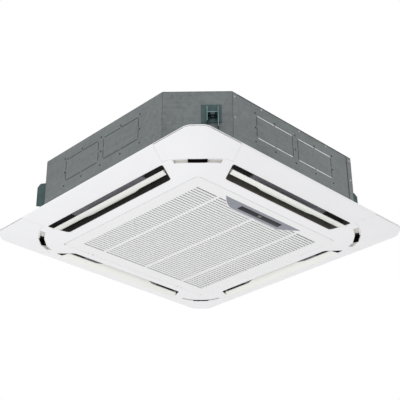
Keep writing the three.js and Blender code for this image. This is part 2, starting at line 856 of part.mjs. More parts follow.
// The display's outline: a straight edge, a flat top and two long curves between them. To
// grow it, the straight lines that frame each curve move out by the same distance.
function lensOutline(grow) {
  const controlX = (lensHalf + 2 * lensFlatHalf) / 3;
  const lean = Math.atan2(lensFlatY - lensStraightY, lensHalf - controlX);
  const tipShift = grow * (1 / Math.sin(lean) + 1 / Math.tan(lean));
  const tip = new THREE.Vector2(lensHalf + tipShift, lensStraightY - grow);
  const control = new THREE.Vector2(controlX + grow * Math.tan(lean / 2), lensFlatY + grow);
  const shoulder = new THREE.Vector2(lensFlatHalf, lensFlatY + grow);
  const curve = new THREE.QuadraticBezierCurve(tip, control, shoulder);
  const right = curve.getPoints(lensSteps).map((p) => [p.x, p.y]);
  return [...right, ...right.map(([x, y]) => [-x, y]).reverse()];
}

// The gaps between the slats, bay by bay between the upright bars.
function slatGaps() {
  const half = slatField / 2;
  const edges = [-half - barWidth / 2, ...barPositions, half + barWidth / 2];
  const count = Math.floor(slatField / slatPitch);
  const first = (-(count - 1) * slatPitch) / 2;
  const gap = slatPitch - slatThickness;
  const gaps = [];
  for (let bay = 0; bay + 1 < edges.length; bay += 1) {
    const across = [edges[bay] + barWidth / 2, edges[bay + 1] - barWidth / 2];
    for (let row = 0; row < count; row += 1) {
      const y = first + row * slatPitch;
      const along = [y - gap / 2, y + gap / 2];
      gaps.push(box(across, along, [faceZ - over, slatTopZ + over]));
    }
  }
  return gaps;
}

function upstand() {
  const outside = grilleHalf - upstandInset;
  const top = grilleTopZ + upstandHeight;
  const ring = prism(squareOutline(outside, openingCorner), faceZ, top)
    .subtract(prism(squareOutline(outside - upstandWall, openingCorner), faceZ - over, top + over));
  const latchEnd = Math.max(...latchPositions) + latchWidth / 2 + over;
  return ring.subtract(box([-latchEnd, latchEnd], [-outside - over, -outside + latchLength],
    [faceZ - over, top + over]));
}

function hingeNotch(x) {
  const front = hingeY - hingeReach - turnGap;
  return box([x - knuckleNotch / 2, x + knuckleNotch / 2], [front, grilleHalf + over],
    [faceZ - over, grilleTopZ + over]);
}

function hingePin(x) {
  const reach = knuckleNotch / 2 + over;
  return solid(cylinderX(hingeY, hingeZ, hingePinRadius, x - reach, x + reach, 12));
}

// A raised rib along the hinged edge, thick enough to hold the hinge pins.
function hingeRib(x, side) {
  const from = x + (side * knuckleNotch) / 2;
  const to = from + side * knuckleLug;
  return box([Math.min(from, to), Math.max(from, to)],
    [hingeY - hingeReach, hingeY + hingeReach], [faceZ, hingeZ + hingeReach]);
}

function intakeGrille() {
  const plate = prism(squareOutline(grilleHalf, grilleCorner), faceZ, grilleTopZ);
  const block = box([-slatField / 2 - slatThickness, slatField / 2 + slatThickness],
    [-slatField / 2 - slatThickness, slatField / 2 + slatThickness], [faceZ, slatTopZ]);
  const edgeTrim = box([-panelHalf, panelHalf], [hingeY + hingeReach, panelHalf],
    [faceZ - over, farAbove]);
  const ribs = knucklePositions.flatMap((x) => [hingeRib(x, -1), hingeRib(x, 1)]);
  const solidPart = cutBy(joined([plate, block, upstand(), ...ribs]), [
    edgeTrim,
    ...knucklePositions.map(hingeNotch),
  ]);
  const openings = slatGaps();
  const lens = prism(lensOutline(lensGap), faceZ - over, farAbove);
  const collar = prism(lensOutline(lensGap + grillePlate), faceZ, slatTopZ)
    .subtract(box([-panelHalf, panelHalf], [-panelHalf, lensStraightY], [grilleTopZ, farAbove]));
  const open = wasm.Manifold.union(openings);
  const slatted = solidPart.subtract(open).add(collar).subtract(lens);
  return joined([slatted, ...knucklePositions.map(hingePin)]);
}

// A latch, drawn back: its tongue slides out into the window in the panel's wall.
function grilleLatch(x) {
  const bottom = grilleTopZ + fitGap;
  const front = -grilleHalf + latchSetback;
  const body = box([x - latchWidth / 2, x + latchWidth / 2], [front, front + latchLength],
    [bottom, bottom + latchHeight]);
  const tongueBottom = bottom + (latchHeight - tongueHeight) / 2;
  const tongue = box([x - tongueWidth / 2, x + tongueWidth / 2],
    [-openingHalf + fitGap, front + over], [tongueBottom, tongueBottom + tongueHeight]);
  return body.add(tongue);
}

function airFilter() {
  const half = filterHalf;
  const bottom = slatTopZ + fitGap;
  const top = bottom + filterFrameHeight;
  const plate = box([-half, half], [filterFront, filterHalf], [bottom, top]);
  const middle = [0, (filterFront + filterHalf) / 2];
  const pockets = [];
  for (const x of [[-half + filterFrameWidth, middle[0] - filterFrameWidth / 2],
    [middle[0] + filterFrameWidth / 2, half - filterFrameWidth]]) {
    for (const y of [[filterFront + filterFrameWidth, middle[1] - filterFrameWidth / 2],
      [middle[1] + filterFrameWidth / 2, filterHalf - filterFrameWidth]]) {
      pockets.push(box(x, y, [bottom + filterNet, top + over]));
    }
  }
  return cutBy(plate, pockets);
}

// ---- Display -----------------------------------------------------------------------------

function displayHousing() {
  const lens = prism(lensOutline(0), faceZ, faceZ + lensHeight);
  const armBottom = grilleTopZ + fitGap;
  const wall = -openingHalf + fitGap;
  const arm = box([-displayArmHalf, displayArmHalf], [wall, lensStraightY + over],
    [armBottom, armBottom + displayArmHeight]);
  const foot = box([-displayArmHalf, displayArmHalf], [wall, wall + displayArmHeight],
    [armBottom, armBottom + displayFootHeight]);
  const recess = box([windowPaneFrom - fitGap, windowPaneTo + fitGap],
    [windowPaneFront - fitGap, windowPaneBack + fitGap],
    [faceZ - over, faceZ + windowPaneThickness + fitGap]);
  return joined([lens, arm, foot]).subtract(recess);
}

function displayWindow() {
  return box([windowPaneFrom, windowPaneTo], [windowPaneFront, windowPaneBack],
    [faceZ, faceZ + windowPaneThickness]);
}

// ---- Casing ------------------------------------------------------------------------------

function panelGasket() {
  const bottom = fitGap;
  const top = bodyBottom - fitGap;
  const ring = prism(bodyOctagon(bodyHalf - seatOuter), bottom, top)
    .subtract(prism(bodyOctagon(bodyHalf - seatInner), bottom - over, top + over));
  const middle = (cornerLine - postInset) * Math.SQRT1_2;
  const hole = cylinderZ(-middle, -middle, postRadius + fitGap, bottom - over, top + over, 16);
  return cutBy(ring, fourTimes(hole));
}

function baseFrame() {
  return prism(bodyOctagon(0), bodyBottom, baseTop)
    .subtract(prism(bodyOctagon(baseWidth), bodyBottom - over, baseTop + over));
}

// Slits round one knock-out, with a bridge at each corner and one in each side's middle.
function knockoutSlits(centre, front) {
  const depth = [front - over, front + sheet + over];
  const halfWidth = knockoutWidth / 2;
  const halfHeight = knockoutHeight / 2;
  const slit = knockoutSlit / 2;
  const slits = [];
  for (const side of [-1, 1]) {
    const z = knockoutCentreZ + side * halfHeight;
    const x = centre + side * halfWidth;
    for (const part of [-1, 1]) {
      const along = [part * (knockoutBridge / 2), part * (halfWidth - knockoutCornerBridge)]
        .sort((a, b) => a - b);
      const up = [part * (knockoutBridge / 2), part * (halfHeight - knockoutCornerBridge)]
        .sort((a, b) => a - b);
      slits.push(box(along.map((v) => v + centre), depth, [z - slit, z + slit]));
      slits.push(box([x - slit, x + slit], depth, up.map((v) => v + knockoutCentreZ)));
    }
  }
  return slits;
}

// A side wall on the -Y side, set back by some distance from the casing's outline.
function sideWall(setback) {
  const front = -bodyHalf + setback;
  const end = bodyHalf - bodyCorner - 2 * fitGap;
  const wall = box([-end, end], [front, front + sheet], [wallBottom, wallTop]);
  return cutBy(wall, [
    ...knockoutSlits(-knockoutCentreX, front),
    ...knockoutSlits(knockoutCentreX, front),
  ]);
}

// The wall across the corner between -X and -Y; its flange laps over the -Y wall or the
// -X wall, so that every long wall is lapped at both ends.
function cornerWall(flangeOnX) {
  const outer = bodyOctagon(0);
  const inner = bodyOctagon(sheet);
  const [a, b] = [outer[6], outer[7]];
  const [innerA, innerB] = [inner[6], inner[7]];
  const lap = b[0] + cornerFlange;
  const points = [a, b, [lap, b[1]], [lap, innerB[1]], innerB, innerA];
  const placed = flangeOnX ? points.map(([x, y]) => [y, x]).reverse() : points;
  return prism(placed, wallBottom, wallTop);
}

function topPlate() {
  const plate = prism(bodyOctagon(0), topUnderside, bodyTop);
  const flangeBottom = topUnderside - topFlange;
  const flange = prism(bodyOctagon(foamInset), flangeBottom, bodyTop)
    .subtract(prism(bodyOctagon(foamInset + sheet), flangeBottom - over, bodyTop + over));
  const dome = turned([[0, topUnderside], [topDomeRadius, topUnderside],
    [topDomeRadius - topDomeSlope, bodyTop + topDomeRise], [0, bodyTop + topDomeRise]], 32);
  const hollow = turned([[0, topUnderside - over], [topDomeRadius - sheet, topUnderside - over],
    [topDomeRadius - sheet, topUnderside],
    [topDomeRadius - topDomeSlope - sheet, bodyTop + topDomeRise - sheet],
    [0, bodyTop + topDomeRise - sheet]], 32);
  return joined([plate, flange, solid(dome)]).subtract(solid(hollow));
}

// A hat-shaped bracket on the cut corner between -X and -Y, made along X and then turned.
function hangerBracket() {
  const back = -cornerLine - fitGap;
  const plateFront = back - hangerSheet;
  const front = back - hangerReach;
  const x = hangerOffset;
  const cheeks = [x + hangerCheekFrom, x + hangerCheekTo - hangerSheet];
  const wings = box([x - hangerWidth / 2, x + hangerWidth / 2], [plateFront, back],
    [hangerBottom, hangerTop]);
  const sides = cheeks.map((from, i) => {
    const bottom = i === 0 ? hangerBottom : hangerTailBottom;
    return box([from, from + hangerSheet], [front, back], [bottom, hangerTop]);
  });
  const shelf = box([cheeks[0], cheeks[1] + hangerSheet], [front, back],
    [hangerShelfHeight, hangerShelfHeight + hangerSheet]);
  const middle = (cheeks[0] + cheeks[1] + hangerSheet) / 2;
  const slot = box([middle - hangerSlot / 2, middle + hangerSlot / 2],
    [front - over, front + hangerSlotDepth],
    [hangerShelfHeight - over, hangerShelfHeight + hangerSheet + over]);
  return joined([wings, ...sides, shelf.subtract(slot)]);
}

// Holes where the pipes and the drain spigot leave, through the walls and the foam.
function pipeHoles(gap) {
  const far = bodyHalf + pipePlateSheet + 2 * over;
  const near = coilOuter;
  return [
    solid(cylinderY(pipeExitX, gasExitZ, gasPipeRadius + gap, near, far, 16)),
    solid(cylinderY(pipeExitX, liquidExitZ, liquidPipeRadius + gap, near, far, 16)),
    solid(cylinderX(pumpY, spigotZ, spigotRadius + gap, near, far, 16)),
  ];
}

// The pipes' holes as seen from a wall that was made on the -Y side.
function turnedPipeHole(turn) {
  const holes = joined(pipeHoles(fitGap));
  return solid(turnedBy(geometryOf(holes), turn));
}

function pipePlate() {
  const halfWidth = gasPipeRadius + pipePlateMargin;
  const face = bodyHalf - longWallInset + fitGap;
  const plate = box([pipeExitX - halfWidth, pipeExitX + halfWidth],
    [face, face + pipePlateSheet],
    [liquidExitZ - liquidPipeRadius - pipePlateMargin, gasExitZ + gasPipeRadius + pipePlateMargin]);
  return cutBy(plate, pipeHoles(fitGap));
}

// ---- Insulation, drain pan and air path --------------------------------------------------

function foamLiner() {
  const shell = prism(bodyOctagon(foamInset), wallBottom, foamWallTopZ)
    .add(prism(bodyOctagon(foamInset + sheet + fitGap), foamWallTopZ - over, foamTopZ));
  const room = prism(bodyOctagon(foamInnerInset), wallBottom - over, foamWallTopZ);
  const hole = cylinderZ(0, 0, foamTopHole, foamWallTopZ - over, foamTopZ + over, 32);
  return cutBy(shell, [room, solid(hole), ...pipeHoles(fitGap)]);
}

function drainPan() {
  const block = prism(bodyOctagon(panInset), panBottom, panTop);
  const duct = prismGeometry(rectangle(-ductHalf, ductHalf, -ductOuter, -ductInner),
    panBottom - over, panTop + over);
  const centre = cylinderZ(0, 0, panHole, panBottom - over, panTop + over, airSides);
  const step = cylinderZ(0, 0, panHole + panStep, panBottom - over,
    bellBottom + bellWall + fitGap, airSides);
  const troughOut = squareOutline(coilCentre + troughWidth / 2, coilBend);
  const troughIn = squareOutline(coilCentre - troughWidth / 2, coilBend);
  const trough = prism(troughOut, panTop - troughDepth, panTop + over)
    .subtract(prism(troughIn, panTop - troughDepth - over, panTop + 2 * over));
  const sump = cylinderZ(pumpX, pumpY, sumpRadius, sumpFloor, panTop + over);
  const well = cylinderZ(floatX, floatY, floatWellRadius, sumpFloor, panTop + over);
  return cutBy(block, [...fourTimes(duct), solid(centre), solid(step), trough, solid(sump),
    solid(well)]);
}

// The flat plate in the pan's step that carries the bell mouth.
function bellPlate() {
  const inner = bellThroat + bellFlareRadius + bellPlateMargin;
  const rim = panHole + panStep - fitGap;
  const top = bellBottom + bellWall;
  const profile = [[inner, bellBottom], [rim, bellBottom], [rim, top], [inner, top]];
  return solid(turned(profile, airSides));
}

// A trumpet-shaped lip that leads the air up into the fan, by a flange that lies on the plate.
function bellMouth() {
  const bottom = bellBottom + bellWall + fitGap;
  const lipStart = bellTop - bellLip;
  const flare = [];
  for (let i = 0; i <= bellSteps; i += 1) {
    const angle = (quarter * i) / bellSteps;
    const run = bellFlareRadius * (1 - Math.sin(angle));
    const rise = (lipStart - bottom) * (1 - Math.cos(angle));
    flare.push([bellThroat + run, bottom + rise]);
  }
  const back = flare.map(([r, z]) => [r + bellWall, z + (z > bottom + over ? 0 : bellWall)]);
  const rim = bellThroat + bellFlareRadius + bellFlange;
  const profile = [[rim, bottom], ...flare, [bellThroat, bellTop],
    [bellThroat + bellWall, bellTop], ...back.reverse(), [rim, bottom + bellWall]];
  return solid(turned(profile, airSides));
}

// The coil's plan: a band round three corners of a square, open at the +X +Y corner.
function coilOutline() {
  const bands = [coilOuter, coilInner].map((half) => {
    const bend = half - (coilCentre - coilBend);
    const path = [[coilEnd, half], [-half, half], [-half, -half], [half, -half], [half, coilEnd]];
    const line = [path[0]];
    for (const [i, corner] of path.slice(1, 4).entries()) {
      const at = new THREE.Vector2(...corner);
      const start = at.clone().add(new THREE.Vector2(...path[i]).sub(at).setLength(bend));
      const end = at.clone().add(new THREE.Vector2(...path[i + 2]).sub(at).setLength(bend));
      const curve = new THREE.QuadraticBezierCurve(start, at, end);
      curve.getPoints(coilBendSteps).forEach((p) => line.push([p.x, p.y]));
    }
    return [...line, path[4]];
  });
  return [...bands[0], ...bands[1].reverse()];
}

// A plate on the coil's end on the +Y side, with the tubes' return bends on it.
function coilEndPlate() {
  const from = coilEnd;
  const plate = box([from - fitGap, from + endPlate],
    [coilInner - endPlateMargin, coilOuter + endPlateMargin], [coilBottom, coilTop]);
  const pitch = (coilTop - coilBottom) / (returnBendCount + 1);
  const bends = Array.from({ length: returnBendCount }, (_, i) => {
    const z = coilBottom + pitch * (i + 1);
    const bend = new THREE.TorusGeometry(pitch / 4, returnBendRadius / 2, 5, 10);
    const face = from + endPlate;
    const ring = bend.rotateX(quarter).translate(face, coilCentre, z);
    const front = box([face - over / 2, face + returnBendReach],
      [coilInner, coilOuter], [z - pitch / 2, z + pitch / 2]);
    return solid(ring).intersect(front);
  });
  return joined([plate, ...bends]);
}

const coil = () => prism(coilOutline(), coilBottom, coilTop).add(coilEndPlate());

// ---- Pipes -------------------------------------------------------------------------------

// A tube through a list of points, with each corner bent to the same reach.
function tube(points, radius, bend) {
  const path = new THREE.CurvePath();
  const at = points.map((p) => new THREE.Vector3(...p));
  let from = at[0];
  for (let i = 1; i + 1 < at.length; i += 1) {
    const start = at[i].clone().add(at[i - 1].clone().sub(at[i]).setLength(bend));
    const end = at[i].clone().add(at[i + 1].clone().sub(at[i]).setLength(bend));
    path.add(new THREE.LineCurve3(from, start));
    path.add(new THREE.QuadraticBezierCurve3(start, at[i], end));
    from = end;
  }
  path.add(new THREE.LineCurve3(from, at.at(-1)));
  const section = Array.from({ length: pipeSides }, (_, i) => {
    const angle = (4 * quarter * i) / pipeSides;
    return [radius * Math.cos(angle), radius * Math.sin(angle)];
  });
  const settings = { steps: pipeSteps, extrudePath: path, bevelEnabled: false };
  return solid(new THREE.ExtrudeGeometry(shapeOf(section), settings));
}

// A header beside the coil's end that turns out through the +Y wall.
function headerPipe(radius, y, exitZ) {
  const plateFace = coilEnd + endPlate;
  const x = plateFace + headerDistance;
  const route = [[x, y, headerBottom], [x, y, exitZ], [pipeExitX, y, exitZ],
    [pipeExitX, pipeEndY, exitZ]];
  const pipe = tube(route, radius, pipeBend);
  const stubZ = headerBottom + 2 * stubRadius;
  const stub = cylinderX(y, stubZ, stubRadius, plateFace + fitGap, x, 10);
  return pipe.add(solid(stub));
}

function flareNut(across, pipeRadius, exitZ) {
  const end = pipeEndY - nutSetback;
  const radius = across / 2 / Math.cos(Math.PI / 6);
  const hex = cylinderY(pipeExitX, exitZ, radius, end - nutLength, end, 6);
  const bore = cylinderY(pipeExitX, exitZ, pipeRadius + fitGap, end - nutLength - over, end + over, 16);
  return solid(hex).subtract(solid(bore));
}

// ---- Fan ---------------------------------------------------------------------------------

function motorMount() {
  const disc = cylinderZ(0, 0, mountRadius, mountBottom, mountTop, 32);
  const foot = topDomeRadius + 2 * topDomeSlope;
  const arms = [0, 1].map((turn) => solid(turnedBy(
    boxGeometry([-foot, foot], [-topDomeSlope, topDomeSlope], [mountBottom, mountTop]), turn)));
  return joined([solid(disc), ...arms]).intersect(
    solid(cylinderZ(0, 0, foamTopHole - fitGap, mountBottom - over, mountTop + over, 32)));
}

function fanMotor() {
  const top = mountBottom + over;
  const profile = [[0, shaftBottom], [shaftRadius, shaftBottom], [shaftRadius, motorBottom],
    [motorRadius - motorCornerRadius, motorBottom], [motorRadius, motorBottom + motorCornerRadius],
    [motorRadius, top - motorCornerRadius], [motorRadius - motorCornerRadius, top], [0, top]];
  return solid(turned(profile, 32)).add(motorMount());
}

// The wheel's back plate: a hub on the shaft, a cone that clears the motor, and a flat rim.
function fanWheel() {
  const t = fanSheet;
  const profile = [[shaftRadius + fitGap, hubBottom], [hubRadius, hubBottom],
    [hubRadius, fanConeFootZ - t], [fanConeFoot, fanConeFootZ - t],
    [fanConeHead, fanTop - 2 * t], [fanRadius, fanTop - t], [fanRadius, fanTop],
    [fanConeHead - t, fanTop - t], [fanConeFoot, fanConeFootZ],
    [hubRadius, fanConeFootZ], [hubRadius, hubTop], [shaftRadius + fitGap, hubTop]];
  return solid(turned(profile, fanSides));
}

const fromShroud = ([out, up]) => [shroudInner + out, shroudBottom + up];
const shroudLine = [[shroudInner, shroudBottom], fromShroud(shroudThroat),
  fromShroud(shroudShoulder), [fanRadius, shroudTop]];
const shroudBack = farSide(shroudLine, fanSheet).map(
  ([r, z]) => [Math.min(r, fanRadius), Math.max(z, shroudBottom)]);

const shroudRing = () => solid(turned([...shroudLine, ...shroudBack.toReversed()], fanSides));

function fanBlades() {
  const middle = shroudLine.map(([r, z], i) => [(r + shroudBack[i][0]) / 2,
    (z + shroudBack[i][1]) / 2]);
  const room = turned([...middle.slice(1),
    [fanRadius, fanTop - fanSheet - fitGap], [fanConeHead, fanTop - 2 * fanSheet - fitGap],
    [fanConeHead, shroudTop]], fanSides);
  const edge = (offset) => Array.from({ length: bladeSteps + 1 }, (_, i) => {
    const share = i / bladeSteps;
    const r = bladeInner + (fanRadius - over - bladeInner) * share;
    const angle = THREE.MathUtils.degToRad(-bladeSweep * share) + offset / r;
    return [r * Math.cos(angle), r * Math.sin(angle)];
  });
  const outline = [...edge(-bladeThickness / 2), ...edge(bladeThickness / 2).reverse()];
  const blade = prismGeometry(outline, shroudBottom, fanTop);
  const turn = 4 / bladeCount;
  const blades = Array.from({ length: bladeCount }, (_, i) => solid(turnedBy(blade, i * turn)));
  return joined(blades).intersect(solid(room));
}

// The shroud with its blades, whose upper ends are welded to the back plate.
const fanShroud = () => shroudRing().add(fanBlades());

function fanNut() {
  const top = hubBottom - fitGap;
  const radius = nutAcross / 2 / Math.cos(Math.PI / 6);
  const hex = cylinderZ(0, 0, radius, top - nutHeight, top, 6);
  const bore = cylinderZ(0, 0, shaftRadius + fitGap, top - nutHeight - over, top + over, 16);
  return solid(hex).subtract(solid(bore));
}

// ---- Control box -------------------------------------------------------------------------

function controlBox() {
  const half = boxWidth / 2;
  const shell = box([-half, half], [boxFront, boxBack], [boxBottom, boxTop]);
  const room = box([-half + boxWall, half - boxWall], [boxFront + boxWall, boxBack - boxWall],
    [boxBottom - over, boxTop - boxWall]);
  return shell.subtract(room);
}

function controlBoxCover() {
  const half = boxWidth / 2;
  const top = boxBottom - fitGap;
  return box([-half, half], [boxFront, boxBack], [top - boxWall, top]);
}

const boardCentreX = (boxWidth - boardWidth) / 2 - 2 * boxWall - fitGap;

function controlBoard() {
  const y = (boxFront + boxBack) / 2;
  const roof = boxTop - boxWall - fitGap;
  const plateTop = roof - standoffHeight;
  const half = boardWidth / 2;
  const centre = boardCentreX;
  const plate = box([centre - half, centre + half], [y - boardDepth / 2, y + boardDepth / 2],
    [plateTop - boardThickness, plateTop]);
  const standoffs = [-1, 1].flatMap((i) => [-1, 1].map((j) => solid(cylinderZ(
    centre + i * (half - standoffHeight), y + j * (boardDepth / 2 - standoffHeight),
    standoffHeight / 2, plateTop - boardThickness / 2, roof, 8))));
  const capacitors = [-1, 0, 1].map((i) => solid(cylinderZ(centre + (i * half) / 2, y,
    capacitorRadius, plateTop - boardThickness - capacitorHeight,
    plateTop - boardThickness / 2, 10)));
  return joined([plate, ...standoffs, ...capacitors]);
}

function terminalBlock() {
  const y = (boxFront + boxBack) / 2;
  const roof = boxTop - boxWall - fitGap;
  const right = boardCentreX - boardWidth / 2 - 2 * fitGap;
  const left = right - terminalWidth;
  const block = box([left, right], [y - terminalDepth / 2, y + terminalDepth / 2],
    [roof - terminalHeight, roof]);
  const way = terminalWidth / terminalWays;
  const slots = Array.from({ length: terminalWays - 1 }, (_, i) => {
    const x = left + way * (i + 1);
    return box([x - terminalSlit / 2, x + terminalSlit / 2], [y - terminalDepth, y + terminalDepth],
      [roof - terminalHeight - over, roof - terminalHeight / 2]);
  });
  return cutBy(block, slots);
}

// ---- Drain pump and float switch ---------------------------------------------------------

function drainPump() {
  const flangeTop = pumpFlangeBottom + pumpFlange;
  const profile = [[0, sumpFloor + pumpFlange], [pumpIntakeRadius, sumpFloor + pumpFlange],
    [pumpIntakeRadius, pumpFlangeBottom], [pumpFlangeRadius, pumpFlangeBottom],
    [pumpFlangeRadius, flangeTop], [pumpRadius, flangeTop], [pumpRadius, flangeTop + pumpHeight],
    [0, flangeTop + pumpHeight]];
  return solid(turned(profile, 28).translate(pumpX, pumpY, 0));
}

// The drain pipe from the pump's side out through the +X wall.
function drainSpigot() {
  const start = pumpX + pumpRadius + fitGap;
  const outside = cylinderX(pumpY, spigotZ, spigotRadius, start, spigotEndX, 16);
  const bore = cylinderX(pumpY, spigotZ, spigotRadius - spigotWall, start + spigotWall,
    spigotEndX + over, 16);
  return solid(outside).subtract(solid(bore));
}

// A stem that hangs in the float's well from an arm on the pan.
function floatStem() {
  const armTop = floatArmBottom + floatArmThickness;
  const half = floatArmWidth / 2;
  const stem = cylinderZ(floatX, floatY, stemRadius, stemFoot, armTop, 12);
  const stop = cylinderZ(floatX, floatY, stopRadius, stemFoot, stemFoot + stopHeight, 16);
  const arm = box([floatX - half, floatX + half], [floatY - half, floatY + floatPostOffset],
    [floatArmBottom, armTop]);
  const post = box([floatX - half, floatX + half],
    [floatY + floatPostOffset - floatArmThickness, floatY + floatPostOffset],
    [panTop + fitGap, armTop]);
  return joined([solid(stem), solid(stop), arm, post]);
}

function floatBody() {
  const ring = cylinderZ(floatX, floatY, floatRadius, floatBottom, floatBottom + floatHeight, 20);
  const bore = cylinderZ(floatX, floatY, stemRadius + turnGap, floatBottom - over,
    floatBottom + floatHeight + over, 12);
  return solid(ring).subtract(solid(bore));
}

// ---- Assembly ----------------------------------------------------------------------------

const group = new THREE.Group();

function add(name, body, material, turn = 0) {
  const mesh = new THREE.Mesh(geometryOf(body), material);
  mesh.name = name;
  mesh.rotation.z = turn * quarter;
  group.add(mesh);
}

const sides = ["front", "right", "back", "left"]; // -Y, +X, +Y and -X
const corners = ["front_left", "front_right", "back_right", "back_left"];

// Panel
add("panel_frame", panelFrame(), panelWhite);
corners.forEach((corner, turn) => add(`corner_cover_${corner}`, cornerCover(), panelWhite, turn));
sides.forEach((side, turn) => {
  add(`outlet_guide_${side}`, outletGuide(), guideDark, turn);
  add(`louver_${side}`, louver(), louverIvory, turn);
  add(`louver_motor_${side}`, louverMotor(), motorGrey, turn);
});
add("intake_grille", intakeGrille(), grilleWhite);
add("air_filter", airFilter(), filterGrey);
add("grille_latch_left", grilleLatch(latchPositions[0]), grilleWhite);
add("grille_latch_right", grilleLatch(latchPositions[1]), grilleWhite);
add("display_housing", displayHousing(), displayGrey);
add("display_window", displayWindow(), windowBlack);

// Casing
add("panel_gasket", panelGasket(), gasketBlack);
add("base_frame", baseFrame(), galvanised);
const longWall = sideWall(longWallInset);
const shortWall = sideWall(0);
add("side_panel_front", longWall, galvanised);
add("side_panel_right", shortWall.subtract(turnedPipeHole(-1)), galvanised, 1);
add("side_panel_back", longWall.subtract(turnedPipeHole(-2)), galvanised, 2);
add("side_panel_left", shortWall, galvanised, 3);
corners.forEach((corner, turn) => {
  add(`corner_panel_${corner}`, cornerWall(turn % 2 === 1), galvanised, turn);
});
add("top_plate", topPlate(), galvanised);
corners.forEach((corner, turn) => {
  add(`hanger_bracket_${corner}`, hangerBracket(), bracketSteel, turn - 0.5);
});
add("pipe_plate", pipePlate(), galvanised);

// Inside
add("foam_liner", foamLiner(), foamWhite);
add("drain_pan", drainPan(), foamWhite);
add("bell_plate", bellPlate(), fanPlastic);
add("bell_mouth", bellMouth(), fanPlastic);
add("coil", coil(), finAluminium);
add("gas_pipe", headerPipe(gasPipeRadius, gasPipeY, gasExitZ), copper);
add("liquid_pipe", headerPipe(liquidPipeRadius, liquidPipeY, liquidExitZ), copper);
add("gas_nut", flareNut(gasNutAcross, gasPipeRadius, gasExitZ), brass);
add("liquid_nut", flareNut(liquidNutAcross, liquidPipeRadius, liquidExitZ), brass);
add("fan_motor", fanMotor(), motorGrey);
add("fan_wheel", fanWheel(), fanPlastic);
add("fan_shroud", fanShroud(), fanPlastic);
add("fan_nut", fanNut(), brass);
add("control_box", controlBox(), boxSteel);
add("control_box_cover", controlBoxCover(), boxSteel);
add("control_board", controlBoard(), boardGreen);
add("terminal_block", terminalBlock(), pumpPlastic);
add("drain_pump", drainPump(), pumpPlastic);
add("drain_spigot", drainSpigot(), pumpPlastic);
add("float_stem", floatStem(), pumpPlastic);
add("float", floatBody(), pumpPlastic);

export default group;
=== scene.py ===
import json
from math import atan2, cos, hypot, pi, radians, sin, sqrt, tan

import bmesh
import bpy
from bpy.props import FloatProperty, FloatVectorProperty, IntProperty, PointerProperty
from bpy.types import Operator, Panel, PropertyGroup
from mathutils import Matrix, Vector


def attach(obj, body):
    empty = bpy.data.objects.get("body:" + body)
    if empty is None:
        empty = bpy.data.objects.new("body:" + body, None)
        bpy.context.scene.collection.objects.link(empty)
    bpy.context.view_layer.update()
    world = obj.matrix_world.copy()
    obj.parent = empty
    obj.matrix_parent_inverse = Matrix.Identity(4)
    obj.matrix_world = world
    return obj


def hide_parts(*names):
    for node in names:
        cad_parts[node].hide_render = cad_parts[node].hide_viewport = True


bl_info = {
    "name": "Ceiling Cassette Air Conditioner",
    "version": (1, 0, 0),
    "blender": (4, 5, 0),
    "location": "View3D > Sidebar > Cassette",
    "description": "Dresses the packed model of a four-way ceiling cassette",
    "category": "Object",
}

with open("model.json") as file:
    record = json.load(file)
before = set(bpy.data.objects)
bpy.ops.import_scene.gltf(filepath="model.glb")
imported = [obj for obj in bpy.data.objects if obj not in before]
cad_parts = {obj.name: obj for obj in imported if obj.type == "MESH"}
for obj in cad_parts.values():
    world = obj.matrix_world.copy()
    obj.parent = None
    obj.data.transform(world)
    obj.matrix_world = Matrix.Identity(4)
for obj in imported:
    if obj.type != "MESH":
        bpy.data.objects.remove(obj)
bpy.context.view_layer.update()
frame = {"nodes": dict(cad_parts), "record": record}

SIDES = ("front", "right", "back", "left")
CORNERS = ("front_left", "front_right", "back_right", "back_left")

# Sizes of the model in millimetres. Pieces are shaped in them and brought to metres at the end.
# Distances across are taken from the panel's middle, and heights from the ceiling plane.
PANEL = 475.0
PANEL_CORNER, PANEL_CORNER_EASE = 40.0, 13.0
RIM, RIM_EDGE, RIM_WIDTH = 7.0, 1.5, 20.0
DROP = 39.0
FLAT = 300.0
CROWN_POWER = 1.5
SHELL = 3.0
OPENING, OPENING_CORNER = 308.5, 18.0
SLOT_INNER, SLOT_OUTER, SLOT_HALF, SLOT_SPLAY = 343.0, 406.0, 235.0, 0.5
PIVOT_D, PIVOT_Z = 375.0, -21.0
RECESS_C, RECESS_R, RECESS_HALF_ANGLE = 215.0, 200.0, 19.8
RECESS_HALF_WIDTH, RECESS_DEPTH = 8.0, 8.0
WINDOW_HALF_LENGTH, WINDOW_HALF_WIDTH, WINDOW_DEPTH = 27.5, 9.0, 20.0
COVER_RIM, COVER_SLOT_MARGIN, COVER_ARC_MARGIN, COVER_ARC_HALF_ANGLE = 305.0, 6.0, 11.0, 24.0
COVER_THICKNESS, COVER_POCKET = 2.7, 3.1
DISPLAY_FRONT, DISPLAY_BACK, DISPLAY_BEND = (166.0, -281.0), (95.0, -237.0), 356 / 3
BODY, BODY_CORNER = 417.5, 142.0
LAP = 1.3  # how far the front and back walls lie behind the flanges lapped over them
CORNER_DIRECTION = 225.0  # degrees, from the panel's middle to its front left corner
BELOW, ABOVE, FAR_ABOVE = -60.0, 40.0, 60.0  # clear of the panel, where cutting shapes end


# ---- Values a user may change --------------------------------------------------------------


def colour(label, text, red, green, blue):
    return FloatVectorProperty(name=label, description=text, subtype="COLOR", size=3, min=0, max=1,
                               default=(red, green, blue))


def length(label, text, value):
    return FloatProperty(name=label, description=text, subtype="DISTANCE", unit="LENGTH", default=value,
                         min=0)


